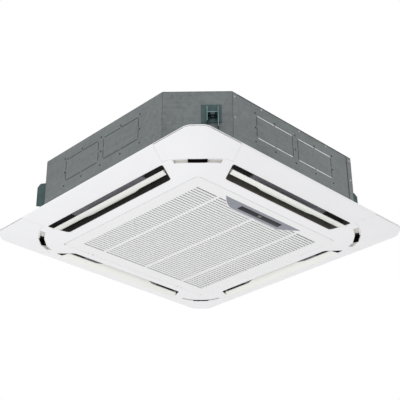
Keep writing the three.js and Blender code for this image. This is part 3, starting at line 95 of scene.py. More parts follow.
class CassetteColours(PropertyGroup):
    panel: colour("Panel", "Moulded outlet panel and corner covers", 0.875, 0.875, 0.89)
    louver: colour("Louver", "Ivory air deflectors", 0.875, 0.88, 0.84)
    grille: colour("Grille", "Slatted intake grille", 0.86, 0.86, 0.865)
    guide: colour("Outlet liner", "Dark liner of the outlet slots", 0.020, 0.019, 0.018)
    # The outlet strip's grey is painted shade: it stands for the shaded duct wall behind each louver.
    strip: colour("Outlet shade strip", "Grey strip behind each louver", 0.32, 0.32, 0.36)
    casing: colour("Casing", "Galvanised sheet", 0.170, 0.186, 0.190)
    bracket: colour("Bracket", "Pressed hanger brackets", 0.070, 0.105, 0.108)
    # The cut edge colour is partly bare metal and partly painted highlight, where the light catches the
    # edges.
    cut_edge_highlight: colour("Cut edge highlight", "Bare edges of the cut and folded sheet", 0.80, 0.82, 0.82)
    # The recess colour is painted shade: darker than the panel for the shade in the curved recesses.
    recess: colour("Recess", "Liner of the curved recesses", 0.70, 0.68, 0.655)
    display: colour("Display", "Receiver and display housing", 0.225, 0.238, 0.285)
    window: colour("Window", "Dark window of the display", 0.014, 0.013, 0.018)


class CassetteDetails(PropertyGroup):
    crown_rings: IntProperty(name="Crown rings", description="Rings across the panel's rising face",
                             default=22, min=3)
    slot_round: length("Slot corner", "Radius of the outlet slots' corners", 0.008)
    dimple: length("Dimple", "Radius of the casing's pressed dimples", 0.0032)
    screw: length("Screw", "Radius of the casing's screw heads", 0.0031)
    spangle: FloatProperty(name="Spangle", description="Zinc crystals per metre", default=85.0, min=1)
    panel_edge: length("Edge radius", "Softness of the panel's moulded edges", 0.0014)


class CassetteStudio(PropertyGroup):
    floor_depth: length("Floor", "Distance from the ceiling plane down to the floor", 4.5)
    sky: FloatProperty(name="Sky", description="Strength of the even light from all round", default=0.93,
                       min=0)
    key: FloatProperty(name="Key light", description="Power of the large soft lamp", unit="POWER",
                       default=20.0, min=0)
    fill: FloatProperty(name="Fill light", description="Power of the lamp below the far corner",
                        unit="POWER", default=7.0, min=0)


def values():
    scene = bpy.context.scene
    return scene.cassette_colours, scene.cassette_details, scene.cassette_studio


# ---- Shapes --------------------------------------------------------------------------------


def verts_of(made):
    return [g for g in made if isinstance(g, bmesh.types.BMVert)]


def faces_of(made):
    return [g for g in made if isinstance(g, bmesh.types.BMFace)]


def raise_by(bm, faces, shift):
    """Extrudes faces and moves what they became."""
    made = bmesh.ops.extrude_face_region(bm, geom=faces)["geom"]
    bmesh.ops.translate(bm, vec=shift, verts=verts_of(made))
    return faces_of(made)


def outlined(points, height, radius=0.0, segments=6):
    """A flat face with its corners rounded."""
    bm = bmesh.new()
    bm.faces.new([bm.verts.new((x, y, height)) for x, y in points])
    if radius:
        bmesh.ops.bevel(bm, geom=bm.verts[:], offset=radius, offset_type="OFFSET", segments=segments,
                        profile=0.5, affect="VERTICES", material=-1)
    return bm


def closed(bm):
    bmesh.ops.remove_doubles(bm, verts=bm.verts[:], dist=1e-4)
    bmesh.ops.recalc_face_normals(bm, faces=bm.faces[:])
    return bm


def prism(points, bottom, top, radius=0.0, segments=6):
    bm = outlined(points, bottom, radius, segments)
    raise_by(bm, bm.faces[:], (0, 0, top - bottom))
    return closed(bm)


def block(x, y, z):
    bm = bmesh.new()
    size = [high - low for low, high in (x, y, z)]
    middle = [(low + high) / 2 for low, high in (x, y, z)]
    bmesh.ops.create_cube(bm, size=1)
    bmesh.ops.scale(bm, vec=size, verts=bm.verts[:])
    bmesh.ops.translate(bm, vec=middle, verts=bm.verts[:])
    return bm


def soften(bm, width, segments=2, angle=30):
    """Bevels the edges that are sharper than an angle."""
    sharp = [e for e in bm.edges if len(e.link_faces) == 2 and e.calc_face_angle(0) > radians(angle)]
    bmesh.ops.bevel(bm, geom=sharp, offset=width, offset_type="OFFSET", segments=segments, profile=0.5,
                    affect="EDGES", material=-1, clamp_overlap=True)
    return bm


def barrel(radius, start, end, centre=(0, 0), axis="Z", sides=32):
    """A cylinder along the Z or the X axis. The centre gives its two other coordinates."""
    bm = bmesh.new()
    bmesh.ops.create_cone(bm, cap_ends=True, segments=sides, radius1=radius, radius2=radius,
                          depth=end - start)
    bmesh.ops.translate(bm, vec=(0, 0, (start + end) / 2), verts=bm.verts[:])
    if axis == "X":
        bmesh.ops.rotate(bm, cent=(0, 0, 0), matrix=Matrix.Rotation(pi / 2, 3, "Y"), verts=bm.verts[:])
        bmesh.ops.translate(bm, vec=(0, centre[0], centre[1]), verts=bm.verts[:])
    else:
        bmesh.ops.translate(bm, vec=(centre[0], centre[1], 0), verts=bm.verts[:])
    return bm


def form(bm, name="form"):
    """An object in millimetres, to be carved and then finished."""
    mesh = bpy.data.meshes.new(name)
    bm.to_mesh(mesh)
    bm.free()
    obj = bpy.data.objects.new(name, mesh)
    bpy.context.scene.collection.objects.link(obj)
    return obj


def drop(*objects):
    for obj in objects:
        mesh = obj.data
        bpy.data.objects.remove(obj)
        bpy.data.meshes.remove(mesh)


def settle(obj):
    """Applies an object's modifiers."""
    depsgraph = bpy.context.evaluated_depsgraph_get()
    shape = bpy.data.meshes.new_from_object(obj.evaluated_get(depsgraph))
    old = obj.data
    obj.modifiers.clear()
    obj.data = shape
    bpy.data.meshes.remove(old)


def is_closed(obj):
    bm = bmesh.new()
    bm.from_mesh(obj.data)
    whole = all(len(e.link_faces) == 2 for e in bm.edges)
    bm.free()
    return whole


def carve(obj, operation, *tools):
    """Joins, cuts or trims by one closed tool after another, and uses the tools up."""
    for tool in tools:
        if not (is_closed(obj) and is_closed(tool)):
            raise RuntimeError(f"{obj.name} or {tool.name} isn't closed")
        modifier = obj.modifiers.new("Carve", "BOOLEAN")
        modifier.operation = operation
        modifier.solver = "MANIFOLD"
        modifier.object = tool
        settle(obj)
        if not obj.data.polygons:
            raise RuntimeError(f"carving {obj.name} left nothing")
        drop(tool)
    return obj


def cut(obj, *tools):
    return carve(obj, "DIFFERENCE", *tools)


def add(obj, *tools):
    return carve(obj, "UNION", *tools)


def keep(obj, *tools):
    return carve(obj, "INTERSECT", *tools)


def turn(bm, quarters):
    """Turns a mesh by quarters of a turn about the Z axis."""
    bmesh.ops.rotate(bm, cent=(0, 0, 0), matrix=Matrix.Rotation(quarters * pi / 2, 3, "Z"),
                     verts=bm.verts[:])
    return bm


def copied(obj, quarters=0):
    bm = bmesh.new()
    bm.from_mesh(obj.data)
    return form(turn(bm, quarters), obj.name)


def merged(objects, name="form"):
    """One object from several, without carving."""
    bm = bmesh.new()
    for obj in objects:
        bm.from_mesh(obj.data)
    drop(*objects)
    return form(bm, name)


def taken(obj):
    """The mesh of an object that is no longer needed."""
    bm = bmesh.new()
    bm.from_mesh(obj.data)
    drop(obj)
    return bm


def on_four_sides(obj):
    """One object from what was made for the -Y side or its corner, turned to all four."""
    return merged([copied(obj, k) for k in (1, 2, 3)] + [obj])


def placed(obj, quarters):
    """Turns what was made on the -Y side to another side or corner."""
    return form(turn(taken(obj), quarters))


def strips(boxes, ease):
    """Thin strips with softened edges, as one form."""
    return merged([form(soften(block(*box), ease, 1)) for box in boxes])


def piece(obj, name, body, material, slot, *nodes, smooth=30.0):
    """Finishes a form: metres, shading, material, body and the nodes it stands for."""
    obj.name = name
    obj.data.name = name
    obj.data.transform(Matrix.Scale(0.001, 4))
    obj.data.shade_smooth()
    obj.data.set_sharp_from_angle(angle=radians(smooth))
    obj.data.materials.clear()
    obj.data.materials.append(material)
    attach(obj, body)
    if nodes:
        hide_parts(*nodes)


# ---- Outlines ------------------------------------------------------------------------------


def octagon(half, leg):
    k = half - leg
    return [(k, -half), (half, -k), (half, k), (k, half), (-k, half), (-half, k), (-half, -k), (-k, -half)]


def casing_outline(inset):
    return octagon(BODY - inset, BODY_CORNER - inset * (2 - sqrt(2)))


def rectangle(x, y):
    return [(x[0], y[0]), (x[1], y[0]), (x[1], y[1]), (x[0], y[1])]


def square(half):
    return rectangle((-half, half), (-half, half))


def slot_half(distance, inset=0.0):
    return SLOT_HALF + SLOT_SPLAY * (distance - SLOT_INNER) - inset * hypot(1, SLOT_SPLAY)


def slot_outline(inset):
    inner, outer = SLOT_INNER + inset, SLOT_OUTER - inset
    return [(-slot_half(outer, inset), -outer), (slot_half(outer, inset), -outer),
            (slot_half(inner, inset), -inner), (-slot_half(inner, inset), -inner)]


def sweep(start, control, end, steps=12):
    """Points along a curve from one place to another, drawn towards a third."""
    shares = [i / steps for i in range(steps + 1)]
    return [(1 - t) ** 2 * start + 2 * t * (1 - t) * control + t * t * end for t in shares]


def display_outline(grow):
    """The display's plan: a straight front, and sides that sweep round to a shorter back."""
    (front_x, front_y), (back_x, back_y) = DISPLAY_FRONT, DISPLAY_BACK
    lean = atan2(back_y - front_y, front_x - DISPLAY_BEND)
    shift = grow * (1 / sin(lean) + 1 / tan(lean))
    tip, shoulder = Vector((front_x + shift, front_y - grow)), Vector((back_x, back_y + grow))
    control = Vector((DISPLAY_BEND + grow * tan(lean / 2), back_y + grow))
    right = sweep(tip, control, shoulder)
    return [(p.x, p.y) for p in right] + [(-p.x, p.y) for p in reversed(right)]


def crown(distance):
    """Height of the panel's face at a distance from the middle."""
    share = max(0.0, distance - FLAT) / (PANEL - FLAT)
    return -DROP + (DROP - RIM) * share ** CROWN_POWER


def dish(lift, top, grow=0.0):
    """All that lies between the panel's face, lifted by some height, and a level top."""
    rings = values()[1].crown_rings
    reach = PANEL + grow
    bm = outlined(octagon(reach, PANEL_CORNER), top, PANEL_CORNER_EASE, 4)
    low = lift - RIM + RIM_EDGE
    edge = crown(PANEL - RIM_EDGE)
    profile = [(reach, low)]
    for bend in (pi / 6, pi / 3, pi / 2):
        profile.append((reach - RIM_EDGE * (1 - cos(bend)), low + (edge + RIM - RIM_EDGE) * sin(bend)))
    for i in range(rings - 1, -1, -1):
        distance = FLAT + (PANEL - FLAT) * i / rings
        profile.append((distance, lift + crown(distance)))
    face, at, height = bm.faces[:], reach, top
    for distance, level in profile:
        last = face
        face = raise_by(bm, last, (0, 0, level - height))
        if height != top:
            bmesh.ops.delete(bm, geom=last, context="FACES_ONLY")
        bmesh.ops.scale(bm, vec=(distance / at, distance / at, 1), verts=face[0].verts[:])
        at, height = distance, level
    return form(closed(bm))


def beyond(lift):
    """All that lies higher than a lift above the panel's face, also past its edges."""
    return dish(lift, FAR_ABOVE, 3)


def inner(lift, top=1):
    """The panel's space from within its wall upwards, which holds all that is moulded inside."""
    return dish(lift, top, -lift)


def arc(radius, half_angle, steps):
    """Points about the middle of the curved recess, from the -Y end to the -X end."""
    start = CORNER_DIRECTION + half_angle
    angles = [radians(start - 2 * half_angle * i / steps) for i in range(steps + 1)]
    return [(-RECESS_C + radius * cos(a), -RECESS_C + radius * sin(a)) for a in angles]


def recess_sector(grow):
    """The curved recess's plan, carried up from below the panel."""
    bm = bmesh.new()
    half = radians(RECESS_HALF_ANGLE + grow / RECESS_R * 180 / pi)
    near, far = RECESS_R - RECESS_HALF_WIDTH - grow, RECESS_R + RECESS_HALF_WIDTH + grow
    bm.faces.new([bm.verts.new((r, 0, z)) for r, z in rectangle((near, far), (BELOW, 0))])
    start = Matrix.Rotation(radians(CORNER_DIRECTION) - half, 3, "Z")
    middle = (-RECESS_C, -RECESS_C, 0)
    bmesh.ops.rotate(bm, cent=(0, 0, 0), matrix=start, verts=bm.verts[:])
    bmesh.ops.translate(bm, vec=middle, verts=bm.verts[:])
    bmesh.ops.spin(bm, geom=bm.faces[:], cent=middle, axis=(0, 0, 1), angle=2 * half, steps=28)
    return form(closed(bm))


def window_plan(grow, top=0.0):
    """The window in the middle of the recess, square to the panel's diagonal."""
    middle = RECESS_C + RECESS_R / sqrt(2)
    x, y = WINDOW_HALF_LENGTH + grow, WINDOW_HALF_WIDTH + grow
    bm = prism(rectangle((-x, x), (-y, y)), BELOW, top, 2.0, 3)
    bmesh.ops.rotate(bm, cent=(0, 0, 0), matrix=Matrix.Rotation(-pi / 4, 3, "Z"), verts=bm.verts[:])
    bmesh.ops.translate(bm, vec=(-middle, -middle, 0), verts=bm.verts[:])
    return form(bm)


def cover_plan(gap, bottom, top):
    """The plan of the front left corner cover, outside the recess and between two slots."""
    rim = COVER_RIM + gap
    margin = COVER_SLOT_MARGIN + gap
    x, y = SLOT_OUTER + margin, slot_half(SLOT_OUTER) + margin
    out = PANEL + 2
    seam = arc(RECESS_R + COVER_ARC_MARGIN + gap, COVER_ARC_HALF_ANGLE, 20)
    points = [(-rim, -out), (-y, -x), *seam, (-x, -y), (-out, -rim), (-out, -out)]
    return form(prism(points, bottom, top))


# ---- Finishes ------------------------------------------------------------------------------


class Finish:
    """A material whose patterns lie in the object's own space."""

    def __init__(self, name, tint, roughness, metallic=0.0):
        self.material = bpy.data.materials.new(name)
        self.material.use_nodes = True
        self.nodes = self.material.node_tree.nodes
        self.links = self.material.node_tree.links
        self.shader = self.nodes["Principled BSDF"]
        self.tint = tuple(tint)
        self.set("Base Color", (*self.tint, 1))
        self.set("Roughness", roughness)
        self.set("Metallic", metallic)
        self.place = self.nodes.new("ShaderNodeTexCoord").outputs["Object"]

    def set(self, socket, value):
        """Sets a socket of the shader, and gives the finish back."""
        self.shader.inputs[socket].default_value = value
        return self

    def node(self, kind, **inputs):
        made = self.nodes.new(kind)
        for name, value in inputs.items():
            self.feed(made.inputs[name.replace("_", " ")], value)
        return made

    def feed(self, socket, value):
        if isinstance(value, bpy.types.NodeSocket):
            self.links.new(value, socket)
        else:
            socket.default_value = value

    def stretched(self, x, y, z):
        mapping = self.node("ShaderNodeMapping", Vector=self.place)
        mapping.inputs["Scale"].default_value = (x, y, z)
        return mapping.outputs["Vector"]

    def noise(self, scale, detail=3.0, vector=None):
        return self.node("ShaderNodeTexNoise", Vector=vector or self.place, Scale=scale,
                         Detail=detail).outputs["Fac"]

    def cells(self, scale):
        made = self.node("ShaderNodeTexVoronoi", Vector=self.place, Scale=scale)
        apart = self.node("ShaderNodeSeparateColor", Color=made.outputs["Color"])
        return apart.outputs[0]

    def maths(self, operation, a, b=0.0):
        made = self.nodes.new("ShaderNodeMath")
        made.operation = operation
        self.feed(made.inputs[0], a)
        self.feed(made.inputs[1], b)
        return made.outputs[0]

    def between(self, factor, low, high):
        made = self.node("ShaderNodeMapRange", Value=factor)
        made.inputs["To Min"].default_value = low
        made.inputs["To Max"].default_value = high
        return made.outputs["Result"]

    def shade(self, factor, dark, light, low=0.3, high=0.7):
        """Base colour between two strengths of the tint."""
        ramp = self.node("ShaderNodeValToRGB", Fac=factor)
        for stop, place, strength in zip(ramp.color_ramp.elements, (low, high), (dark, light)):
            stop.position = place
            stop.color = (*[min(1.0, c * strength) for c in self.tint], 1)
        self.links.new(ramp.outputs["Color"], self.shader.inputs["Base Color"])

    def rough(self, factor, low, high):
        self.links.new(self.between(factor, low, high), self.shader.inputs["Roughness"])

    def bump(self, height, depth, strength=0.5, edge=0.0):
        """Relief, with softened edges where an edge radius is given."""
        made = self.node("ShaderNodeBump", Height=height)
        made.inputs["Strength"].default_value = strength
        made.inputs["Distance"].default_value = depth
        if edge:
            bevel = self.nodes.new("ShaderNodeBevel")
            bevel.samples = 6
            bevel.inputs["Radius"].default_value = edge
            self.links.new(bevel.outputs["Normal"], made.inputs["Normal"])
        self.links.new(made.outputs["Normal"], self.shader.inputs["Normal"])


def moulded(name, tint, roughness=0.4, grain=1400.0, depth=0.00004, mottle=0.015, edge=0.0):
    """Moulded plastic: fine spark grain, a faint flow of tone and uneven gloss."""
    made = Finish(name, tint, roughness)
    made.shade(made.noise(7.0), 1 - mottle, 1.0)
    made.rough(made.noise(60.0), roughness - 0.05, roughness + 0.06)
    made.bump(made.noise(grain, 2.0), depth, 0.35, edge)
    return made


def zinc(name, tint, roughness=0.42, edge=0.0006):
    """Galvanised sheet: zinc crystals, rolling marks and dull patches."""
    made = Finish(name, tint, roughness, 0.85)
    crystals = made.cells(values()[1].spangle)
    rolled = made.noise(22.0, 4.0, made.stretched(0.25, 0.25, 6.0))
    patches = made.noise(5.0, 4.0)
    marks = made.maths("ADD", made.maths("MULTIPLY", rolled, 0.30), made.maths("MULTIPLY", patches, 0.45))
    mixed = made.maths("ADD", made.maths("MULTIPLY", crystals, 0.30), marks)
    made.shade(mixed, 0.78, 1.26, 0.25, 0.80)
    made.rough(crystals, roughness - 0.08, roughness + 0.10)
    made.bump(made.maths("ADD", made.maths("MULTIPLY", crystals, 0.4), rolled), 0.00012, 0.25, edge)
    return made


def metal(name, tint, roughness=0.35, metallic=0.9):
    """Machined or drawn metal: fine marks and a little tarnish."""
    made = Finish(name, tint, roughness, metallic)
    made.shade(made.noise(30.0, 5.0), 0.80, 1.12)
    made.rough(made.noise(90.0), roughness - 0.08, roughness + 0.12)
    made.bump(made.noise(260.0, 4.0), 0.00006, 0.3)
    return made


def beads(name, tint):
    """Expanded polystyrene with its beads."""
    made = Finish(name, tint, 0.9)
    cell = made.node("ShaderNodeTexVoronoi", Vector=made.place, Scale=260.0)
    made.shade(cell.outputs["Distance"], 1.03, 0.90, 0.1, 0.9)
    made.bump(cell.outputs["Distance"], 0.0004, 0.5)
    return made


def sponge(name, tint):
    """Open foam."""
    made = Finish(name, tint, 0.95)
    pores = made.noise(900.0, 6.0)
    made.shade(pores, 0.6, 1.3)
    made.bump(pores, 0.0006, 0.8)
    return made


def finned(name, tint):
    """The coil's edge: upright fins, close together, with the gaps in shade."""
    made = Finish(name, tint, 0.4, 0.9)
    pitch = 0.0021
    apart = made.node("ShaderNodeSeparateXYZ", Vector=made.place)
    along = made.maths("ADD", apart.outputs["X"], apart.outputs["Y"])
    wave = made.maths("SINE", made.maths("MULTIPLY", along, 2 * pi / pitch))
    wave = made.maths("ADD", wave, made.maths("MULTIPLY", made.noise(120.0, 3.0), 0.6))
    made.shade(wave, 0.30, 1.05, 0.25, 0.8)
    made.bump(wave, 0.0005, 0.7)
    return made


def netting(name, tint):
    """The filter's fine net."""
    made = Finish(name, tint, 0.8)
    pitch = 0.0016
    apart = made.node("ShaderNodeSeparateXYZ", Vector=made.place)
    threads = [made.maths("SINE", made.maths("MULTIPLY", apart.outputs[axis], 2 * pi / pitch))
               for axis in ("X", "Y")]
    weave = made.maths("MAXIMUM", *threads)
    made.shade(weave, 0.75, 1.1, 0.3, 0.9)
    made.bump(weave, 0.0003, 0.6)
    return made


finishes = {}


def mix_finishes():
    tints, details, _ = values()
    made = {
        "panel_white": moulded("Panel white", tints.panel, 0.38, edge=details.panel_edge),
        "louver_ivory": moulded("Louver ivory", tints.louver, 0.40),
        "grille_white": moulded("Grille white", tints.grille, 0.45, edge=0.0006),
        "guide_dark": moulded("Outlet liner", tints.guide, 0.6, 700.0, 0.0001, 0.2),
        # Painted light: a lighter copy of the outlet liner for the two liners that catch light.
        "guide_painted_light": moulded("Lit outlet liner", (0.085, 0.080, 0.070), 0.55, 700.0, 0.0001, 0.2),
        # Painted shade: the outlet strip's grey stands for the shaded duct wall behind the louver.
        "strip_painted_shade": moulded("Outlet shade strip", tints.strip, 0.5, 900.0, 0.00006, 0.1),
        "recess_shade": moulded("Recess liner shade", tints.recess, 0.5),
        # Painted shade: near black with little gloss, for the shade deep in the recess's window well.
        "recess_painted_shade": moulded("Recess window shade", (0.008, 0.007, 0.007), 0.8).set("Specular IOR Level", 0.05),
        "cut_edge_highlight": metal("Cut edge highlight", tints.cut_edge_highlight, 0.35, 0.3),
        # Painted highlight: a much lighter copy of the bracket's colour for its bare edges catching the
        # light.
        "bracket_edge_highlight": metal("Bracket edge highlight", tuple(min(1.0, 4.2 * c) for c in tints.bracket), 0.3, 0.6),
        # One near-black finish for the real slits and seams, and for painted shade on the dimples and at the
        # slat ends.
        "slit_dark_and_shade": moulded("Slit and shade", (0.016, 0.018, 0.018), 0.6),
        "display_grey": moulded("Display grey", tints.display, 0.28, edge=0.0008),
        "receiver": moulded("Receiver", (0.105, 0.115, 0.10), 0.15, 300.0, 0.00001, 0.2),
        "window_dark": moulded("Window", tints.window, 0.22, 300.0, 0.00001, 0.2).set(
            "Specular IOR Level", 0.12),
        "galvanised_steel": zinc("Galvanised sheet", tints.casing),
        "bracket_steel": zinc("Bracket steel", tints.bracket, 0.40),
        "motor_grey": moulded("Motor grey", (0.39, 0.40, 0.41), 0.5, 500.0, 0.0001, 0.08),
        "filter_net": netting("Filter net", (0.42, 0.43, 0.44)),
        "gasket_foam": sponge("Seal foam", (0.016, 0.017, 0.019)),
        "foam_white": beads("Insulation", (0.70, 0.71, 0.69)),
        "fin_aluminium": finned("Coil fins", (0.48, 0.51, 0.53)),
        "copper": metal("Copper", (0.62, 0.26, 0.13), 0.32, 0.95),
        "brass": metal("Brass", (0.56, 0.38, 0.12), 0.30, 0.95),
        "fan_plastic": moulded("Fan plastic", (0.045, 0.055, 0.065), 0.5, 600.0, 0.0001, 0.12),
        "box_steel": zinc("Box steel", (0.34, 0.37, 0.37), 0.45),
        "board_green": moulded("Circuit board", (0.03, 0.15, 0.06), 0.35, 400.0, 0.0001, 0.2),
        "pump_plastic": moulded("Pump plastic", (0.72, 0.74, 0.70), 0.5),
        "screw_steel": metal("Screw steel", (0.50, 0.51, 0.50), 0.30),
    }
    finishes.update({name: finish.material for name, finish in made.items()})


def dress_nodes():
    """Gives every node of the model the finish of its slot, and lightens the two liners that catch light."""
    lit = ("outlet_guide_front", "outlet_guide_back")
    for row in frame["record"]["subparts"]:
        node = frame["nodes"][row["node"]]
        node.data.materials.clear()
        finish = "guide_painted_light" if row["node"] in lit else row["material_slot"]
        node.data.materials.append(finishes[finish])


# ---- Panel ---------------------------------------------------------------------------------


# How far inside the panel's face each moulded part starts. No two start at one level, so no two
# of their faces meet when the parts are joined.
SEAT_LIFT, COLLAR_LIFT, PIT_LIFT, TROUGH_LIFT = 0.9, 1.2, 1.5, 1.8
BACKING_LIFT, CRADLE_LIFT, POST_LIFT = 2.1, 2.4, 2.7
HIGH_TOP = 9  # a top above the collar's and the posts' own


def casing_seat():
    """The wall under the casing's edge."""
    inset, width = 1.3, 8.5
    wall = form(prism(casing_outline(inset), BELOW, 0))
    within = form(prism(casing_outline(inset + width), BELOW - 1, 1))
    return keep(cut(wall, within), inner(SEAT_LIFT))


def opening_collar():
    """The wall round the grille's opening, still without the opening."""
    top = 5.2
    wall = prism(square(OPENING + SHELL), BELOW, top, OPENING_CORNER, 8)
    return keep(form(wall), inner(COLLAR_LIFT, HIGH_TOP))


def screw_posts():
    """The four posts that meet the casing's cut corners."""
    radius, inset, top = 7, 14, 3.7
    corner_line = (2 * BODY - BODY_CORNER) / sqrt(2)
    middle = (corner_line - inset) / sqrt(2)
    post = form(barrel(radius, BELOW, top, (-middle, -middle)))
    return keep(on_four_sides(post), inner(POST_LIFT, HIGH_TOP))


def motor_cradles():
    """The blocks that carry the louver motors, past one end of each slot."""
    long, half, top = 14, 6, -25.3
    start = slot_half(PIVOT_D + 12) + 2
    cradle = form(block((start, start + long), (-PIVOT_D - half, -PIVOT_D + half), (BELOW, top)))
    return keep(on_four_sides(cradle), inner(CRADLE_LIFT))


def recess_walls():
    """What stands behind the covers, the curved recesses and their windows."""
    wall, top = 2.5, -0.5
    backing = keep(cut(cover_plan(-wall, BELOW, top), beyond(COVER_POCKET + SHELL)), inner(BACKING_LIFT))
    trough = keep(cut(recess_sector(SHELL), beyond(RECESS_DEPTH + SHELL)), inner(TROUGH_LIFT))
    pit = keep(cut(window_plan(SHELL), beyond(WINDOW_DEPTH + SHELL)), inner(PIT_LIFT))
    return [on_four_sides(part) for part in (backing, trough, pit)]


def recess_rooms():
    """The room of the covers, the curved recesses and their windows, to be cut out."""
    top = -0.3
    pocket = cut(cover_plan(0, BELOW, top), beyond(COVER_POCKET))
    recess = cut(recess_sector(0), beyond(RECESS_DEPTH))
    well = cut(window_plan(0), beyond(WINDOW_DEPTH))
    return [on_four_sides(part) for part in (pocket, recess, well)]


def opening_rooms():
    """The room of the grille, the slots, the latches' tongues and the grille's hinged edge."""
    opening = form(prism(square(OPENING), BELOW, ABOVE, OPENING_CORNER, 8))
    corner = values()[1].slot_round * 1000
    slots = on_four_sides(form(prism(slot_outline(0), BELOW, ABOVE, corner, 6)))
    half, deep, heights = 7.3, 4.5, (-35.5, -31.9)
    tongues = [form(block((x - half, x + half), (-OPENING - deep, -OPENING + 1), heights))
               for x in (-235, 235)]
    hinged = form(block((-OPENING + 1, OPENING - 1), (300.7, OPENING), (-DROP + 1.1, -32.4)))
    return opening, slots, tongues, hinged


def hinge_lugs():
    """The two eyes in which the grille's pins turn."""
    centre, radius, hole, half = (305.1, -36.8), 2.2, 1.6, 7
    lugs = []
    for x in (-200, 200):
        eye = form(barrel(radius, x - half, x + half, centre, "X", 24))
        root = form(block((x - half, x + half), (centre[0], OPENING + 1), (-DROP, -34.6)))
        bore = form(barrel(hole, x - half - 1, x + half + 1, centre, "X", 24))
        lugs.append(cut(add(eye, root), bore))
    return lugs


def panel_body():
    hollow = keep(dish(SHELL, 1), form(prism(octagon(PANEL - RIM_WIDTH, PANEL_CORNER), BELOW, ABOVE)))
    shell = add(cut(dish(0, 0), hollow), casing_seat(), opening_collar(), screw_posts(), motor_cradles(),
                *recess_walls())
    opening, slots, tongues, hinged = opening_rooms()
    shell = cut(shell, opening, slots, *recess_rooms(), *tongues, hinged)
    return add(shell, *hinge_lugs())


class CASSETTE_OT_panel(Operator):
    """Moulds the outlet panel with its rising face, slots and curved recesses"""

    bl_idname = "cassette.panel"
    bl_label = "Outlet panel"

    def execute(self, context):
        piece(panel_body(), "outlet_panel", "housing", finishes["panel_white"], "panel_white", "panel_frame")
        return {"FINISHED"}


def recess_tray():
    """The liner of a curved recess, open to its window, coloured darker than the panel as painted shade in
    the recess.
    """
    gap, inside, lip = 0.15, 0.9, 0.6
    tray = keep(cut(recess_sector(-gap), beyond(RECESS_DEPTH - 0.1)), beyond(lip))
    room = cut(recess_sector(-inside), beyond(RECESS_DEPTH - inside))
    return cut(tray, room, window_plan(-0.1, ABOVE))


def recess_cup():
    """The cup behind a recess's window, near black as painted shade deep in the well."""
    gap, inside, lip = 0.2, 1.0, 0.8
    cup = keep(cut(window_plan(-gap), beyond(WINDOW_DEPTH - 0.1)), beyond(lip))
    return cut(cup, cut(window_plan(-inside), beyond(WINDOW_DEPTH - inside)))


class CASSETTE_OT_covers(Operator):
    """Makes the four corner covers, and the liners and windows of the curved recesses, both coloured darker
    as painted shade
    """

    bl_idname = "cassette.covers"
    bl_label = "Corner covers"

    def execute(self, context):
        gap = 0.4
        cover = keep(cut(dish(0, 0), dish(COVER_THICKNESS, 1)), cover_plan(gap, BELOW, ABOVE))
        tray, cup = recess_tray(), recess_cup()
        white, shade, dark = [finishes[name] for name in ("panel_white", "recess_shade", "recess_painted_shade")]
        for k, corner in enumerate(CORNERS):
            piece(copied(cover, k), f"corner_lid_{corner}", "housing", white, "panel_white",
                  f"corner_cover_{corner}")
        for k, corner in enumerate(CORNERS):
            piece(copied(tray, k), f"recess_tray_{corner}", "housing", shade, "panel_white")
            piece(copied(cup, k), f"recess_window_shade_{corner}", "housing", dark, "window_dark")
        drop(cover, tray, cup)
        return {"FINISHED"}


# ---- Outlets -------------------------------------------------------------------------------


def louver_line():
    """The louver's lower side in section, from its outer to its inner edge."""
    start = Vector((-PIVOT_D - 20, PIVOT_Z - 14.6))
    end = Vector((-PIVOT_D + 16.5, PIVOT_Z - 5.6))
    sag = 3.2
    down = Vector((end.y - start.y, start.x - end.x)).normalized()
    return sweep(start, (start + end) / 2 + down * sag, end)


def louver_plan():
    """The louver from above: its ends follow the slot's, and its inner edge steps back midway."""
    inset, outer, narrow, middle = 4.9, PIVOT_D + 21, PIVOT_D - 8, PIVOT_D - 17.5
    half = [(slot_half(outer, inset), -outer), (slot_half(narrow, inset), -narrow), (127, -narrow),
            (97, -middle)]
    return half + [(-x, y) for x, y in reversed(half)]


def louver_ear(side):
    """The ear and the pin at one end of a louver."""
    thickness, radius, pin = 2, 5, 2.5
    outer = slot_half(PIVOT_D - 13, 1.9) - 1
    pivot = (-PIVOT_D, PIVOT_Z)
    low, high = sorted((side * (outer - thickness), side * outer))
    pin_low, pin_high = sorted((side * (outer - thickness), side * slot_half(PIVOT_D + 4.5)))
    disc = form(barrel(radius, low, high, pivot, "X", 24))
    stem = form(block((low, high), (-PIVOT_D - radius, -PIVOT_D + radius), (PIVOT_Z - 10.9, PIVOT_Z)))
    return add(disc, stem, form(barrel(pin, pin_low, pin_high, pivot, "X", 20)))


def vane():
    """The louver of the front side, with ears and pins."""
    thickness, reach = 2.4, slot_half(SLOT_OUTER)
    line = louver_line()
    bm = bmesh.new()
    bm.faces.new([bm.verts.new((-reach, p.x, p.y)) for p in line] +
                 [bm.verts.new((-reach, p.x, p.y + thickness)) for p in reversed(line)])
    raise_by(bm, bm.faces[:], (2 * reach, 0, 0))
    blade = keep(form(closed(bm)), form(prism(louver_plan(), BELOW, ABOVE, 2.0, 4)))
    return merged([form(soften(closed(taken(blade)), 0.7, 2, 50)), louver_ear(-1), louver_ear(1)])


def outlet_shade_strip():
    """A thin sloping strip from the liner's outer wall inwards, grey as painted shade on the duct wall
    behind the louver.
    """
    half = 163
    section = ((-404.0, -12.0), (-368.0, -15.0), (-367.6, -14.0), (-370.0, -13.2), (-404.0, -10.4))
    bm = bmesh.new()
    bm.faces.new([bm.verts.new((-half, y, z)) for y, z in section])
    raise_by(bm, bm.faces[:], (2 * half, 0, 0))
    return form(closed(bm))


def outlet_foam():
    """The foam blocks at both ends of a slot, behind the louver."""
    blocks = merged([form(soften(block(x, (-404.0, -346.5), (-11, 2)), 1.5)) for x in
                     ((-262, -166), (166, 262))])
    return keep(blocks, form(prism(slot_outline(2.1), BELOW, ABOVE, 6.0, 4)))


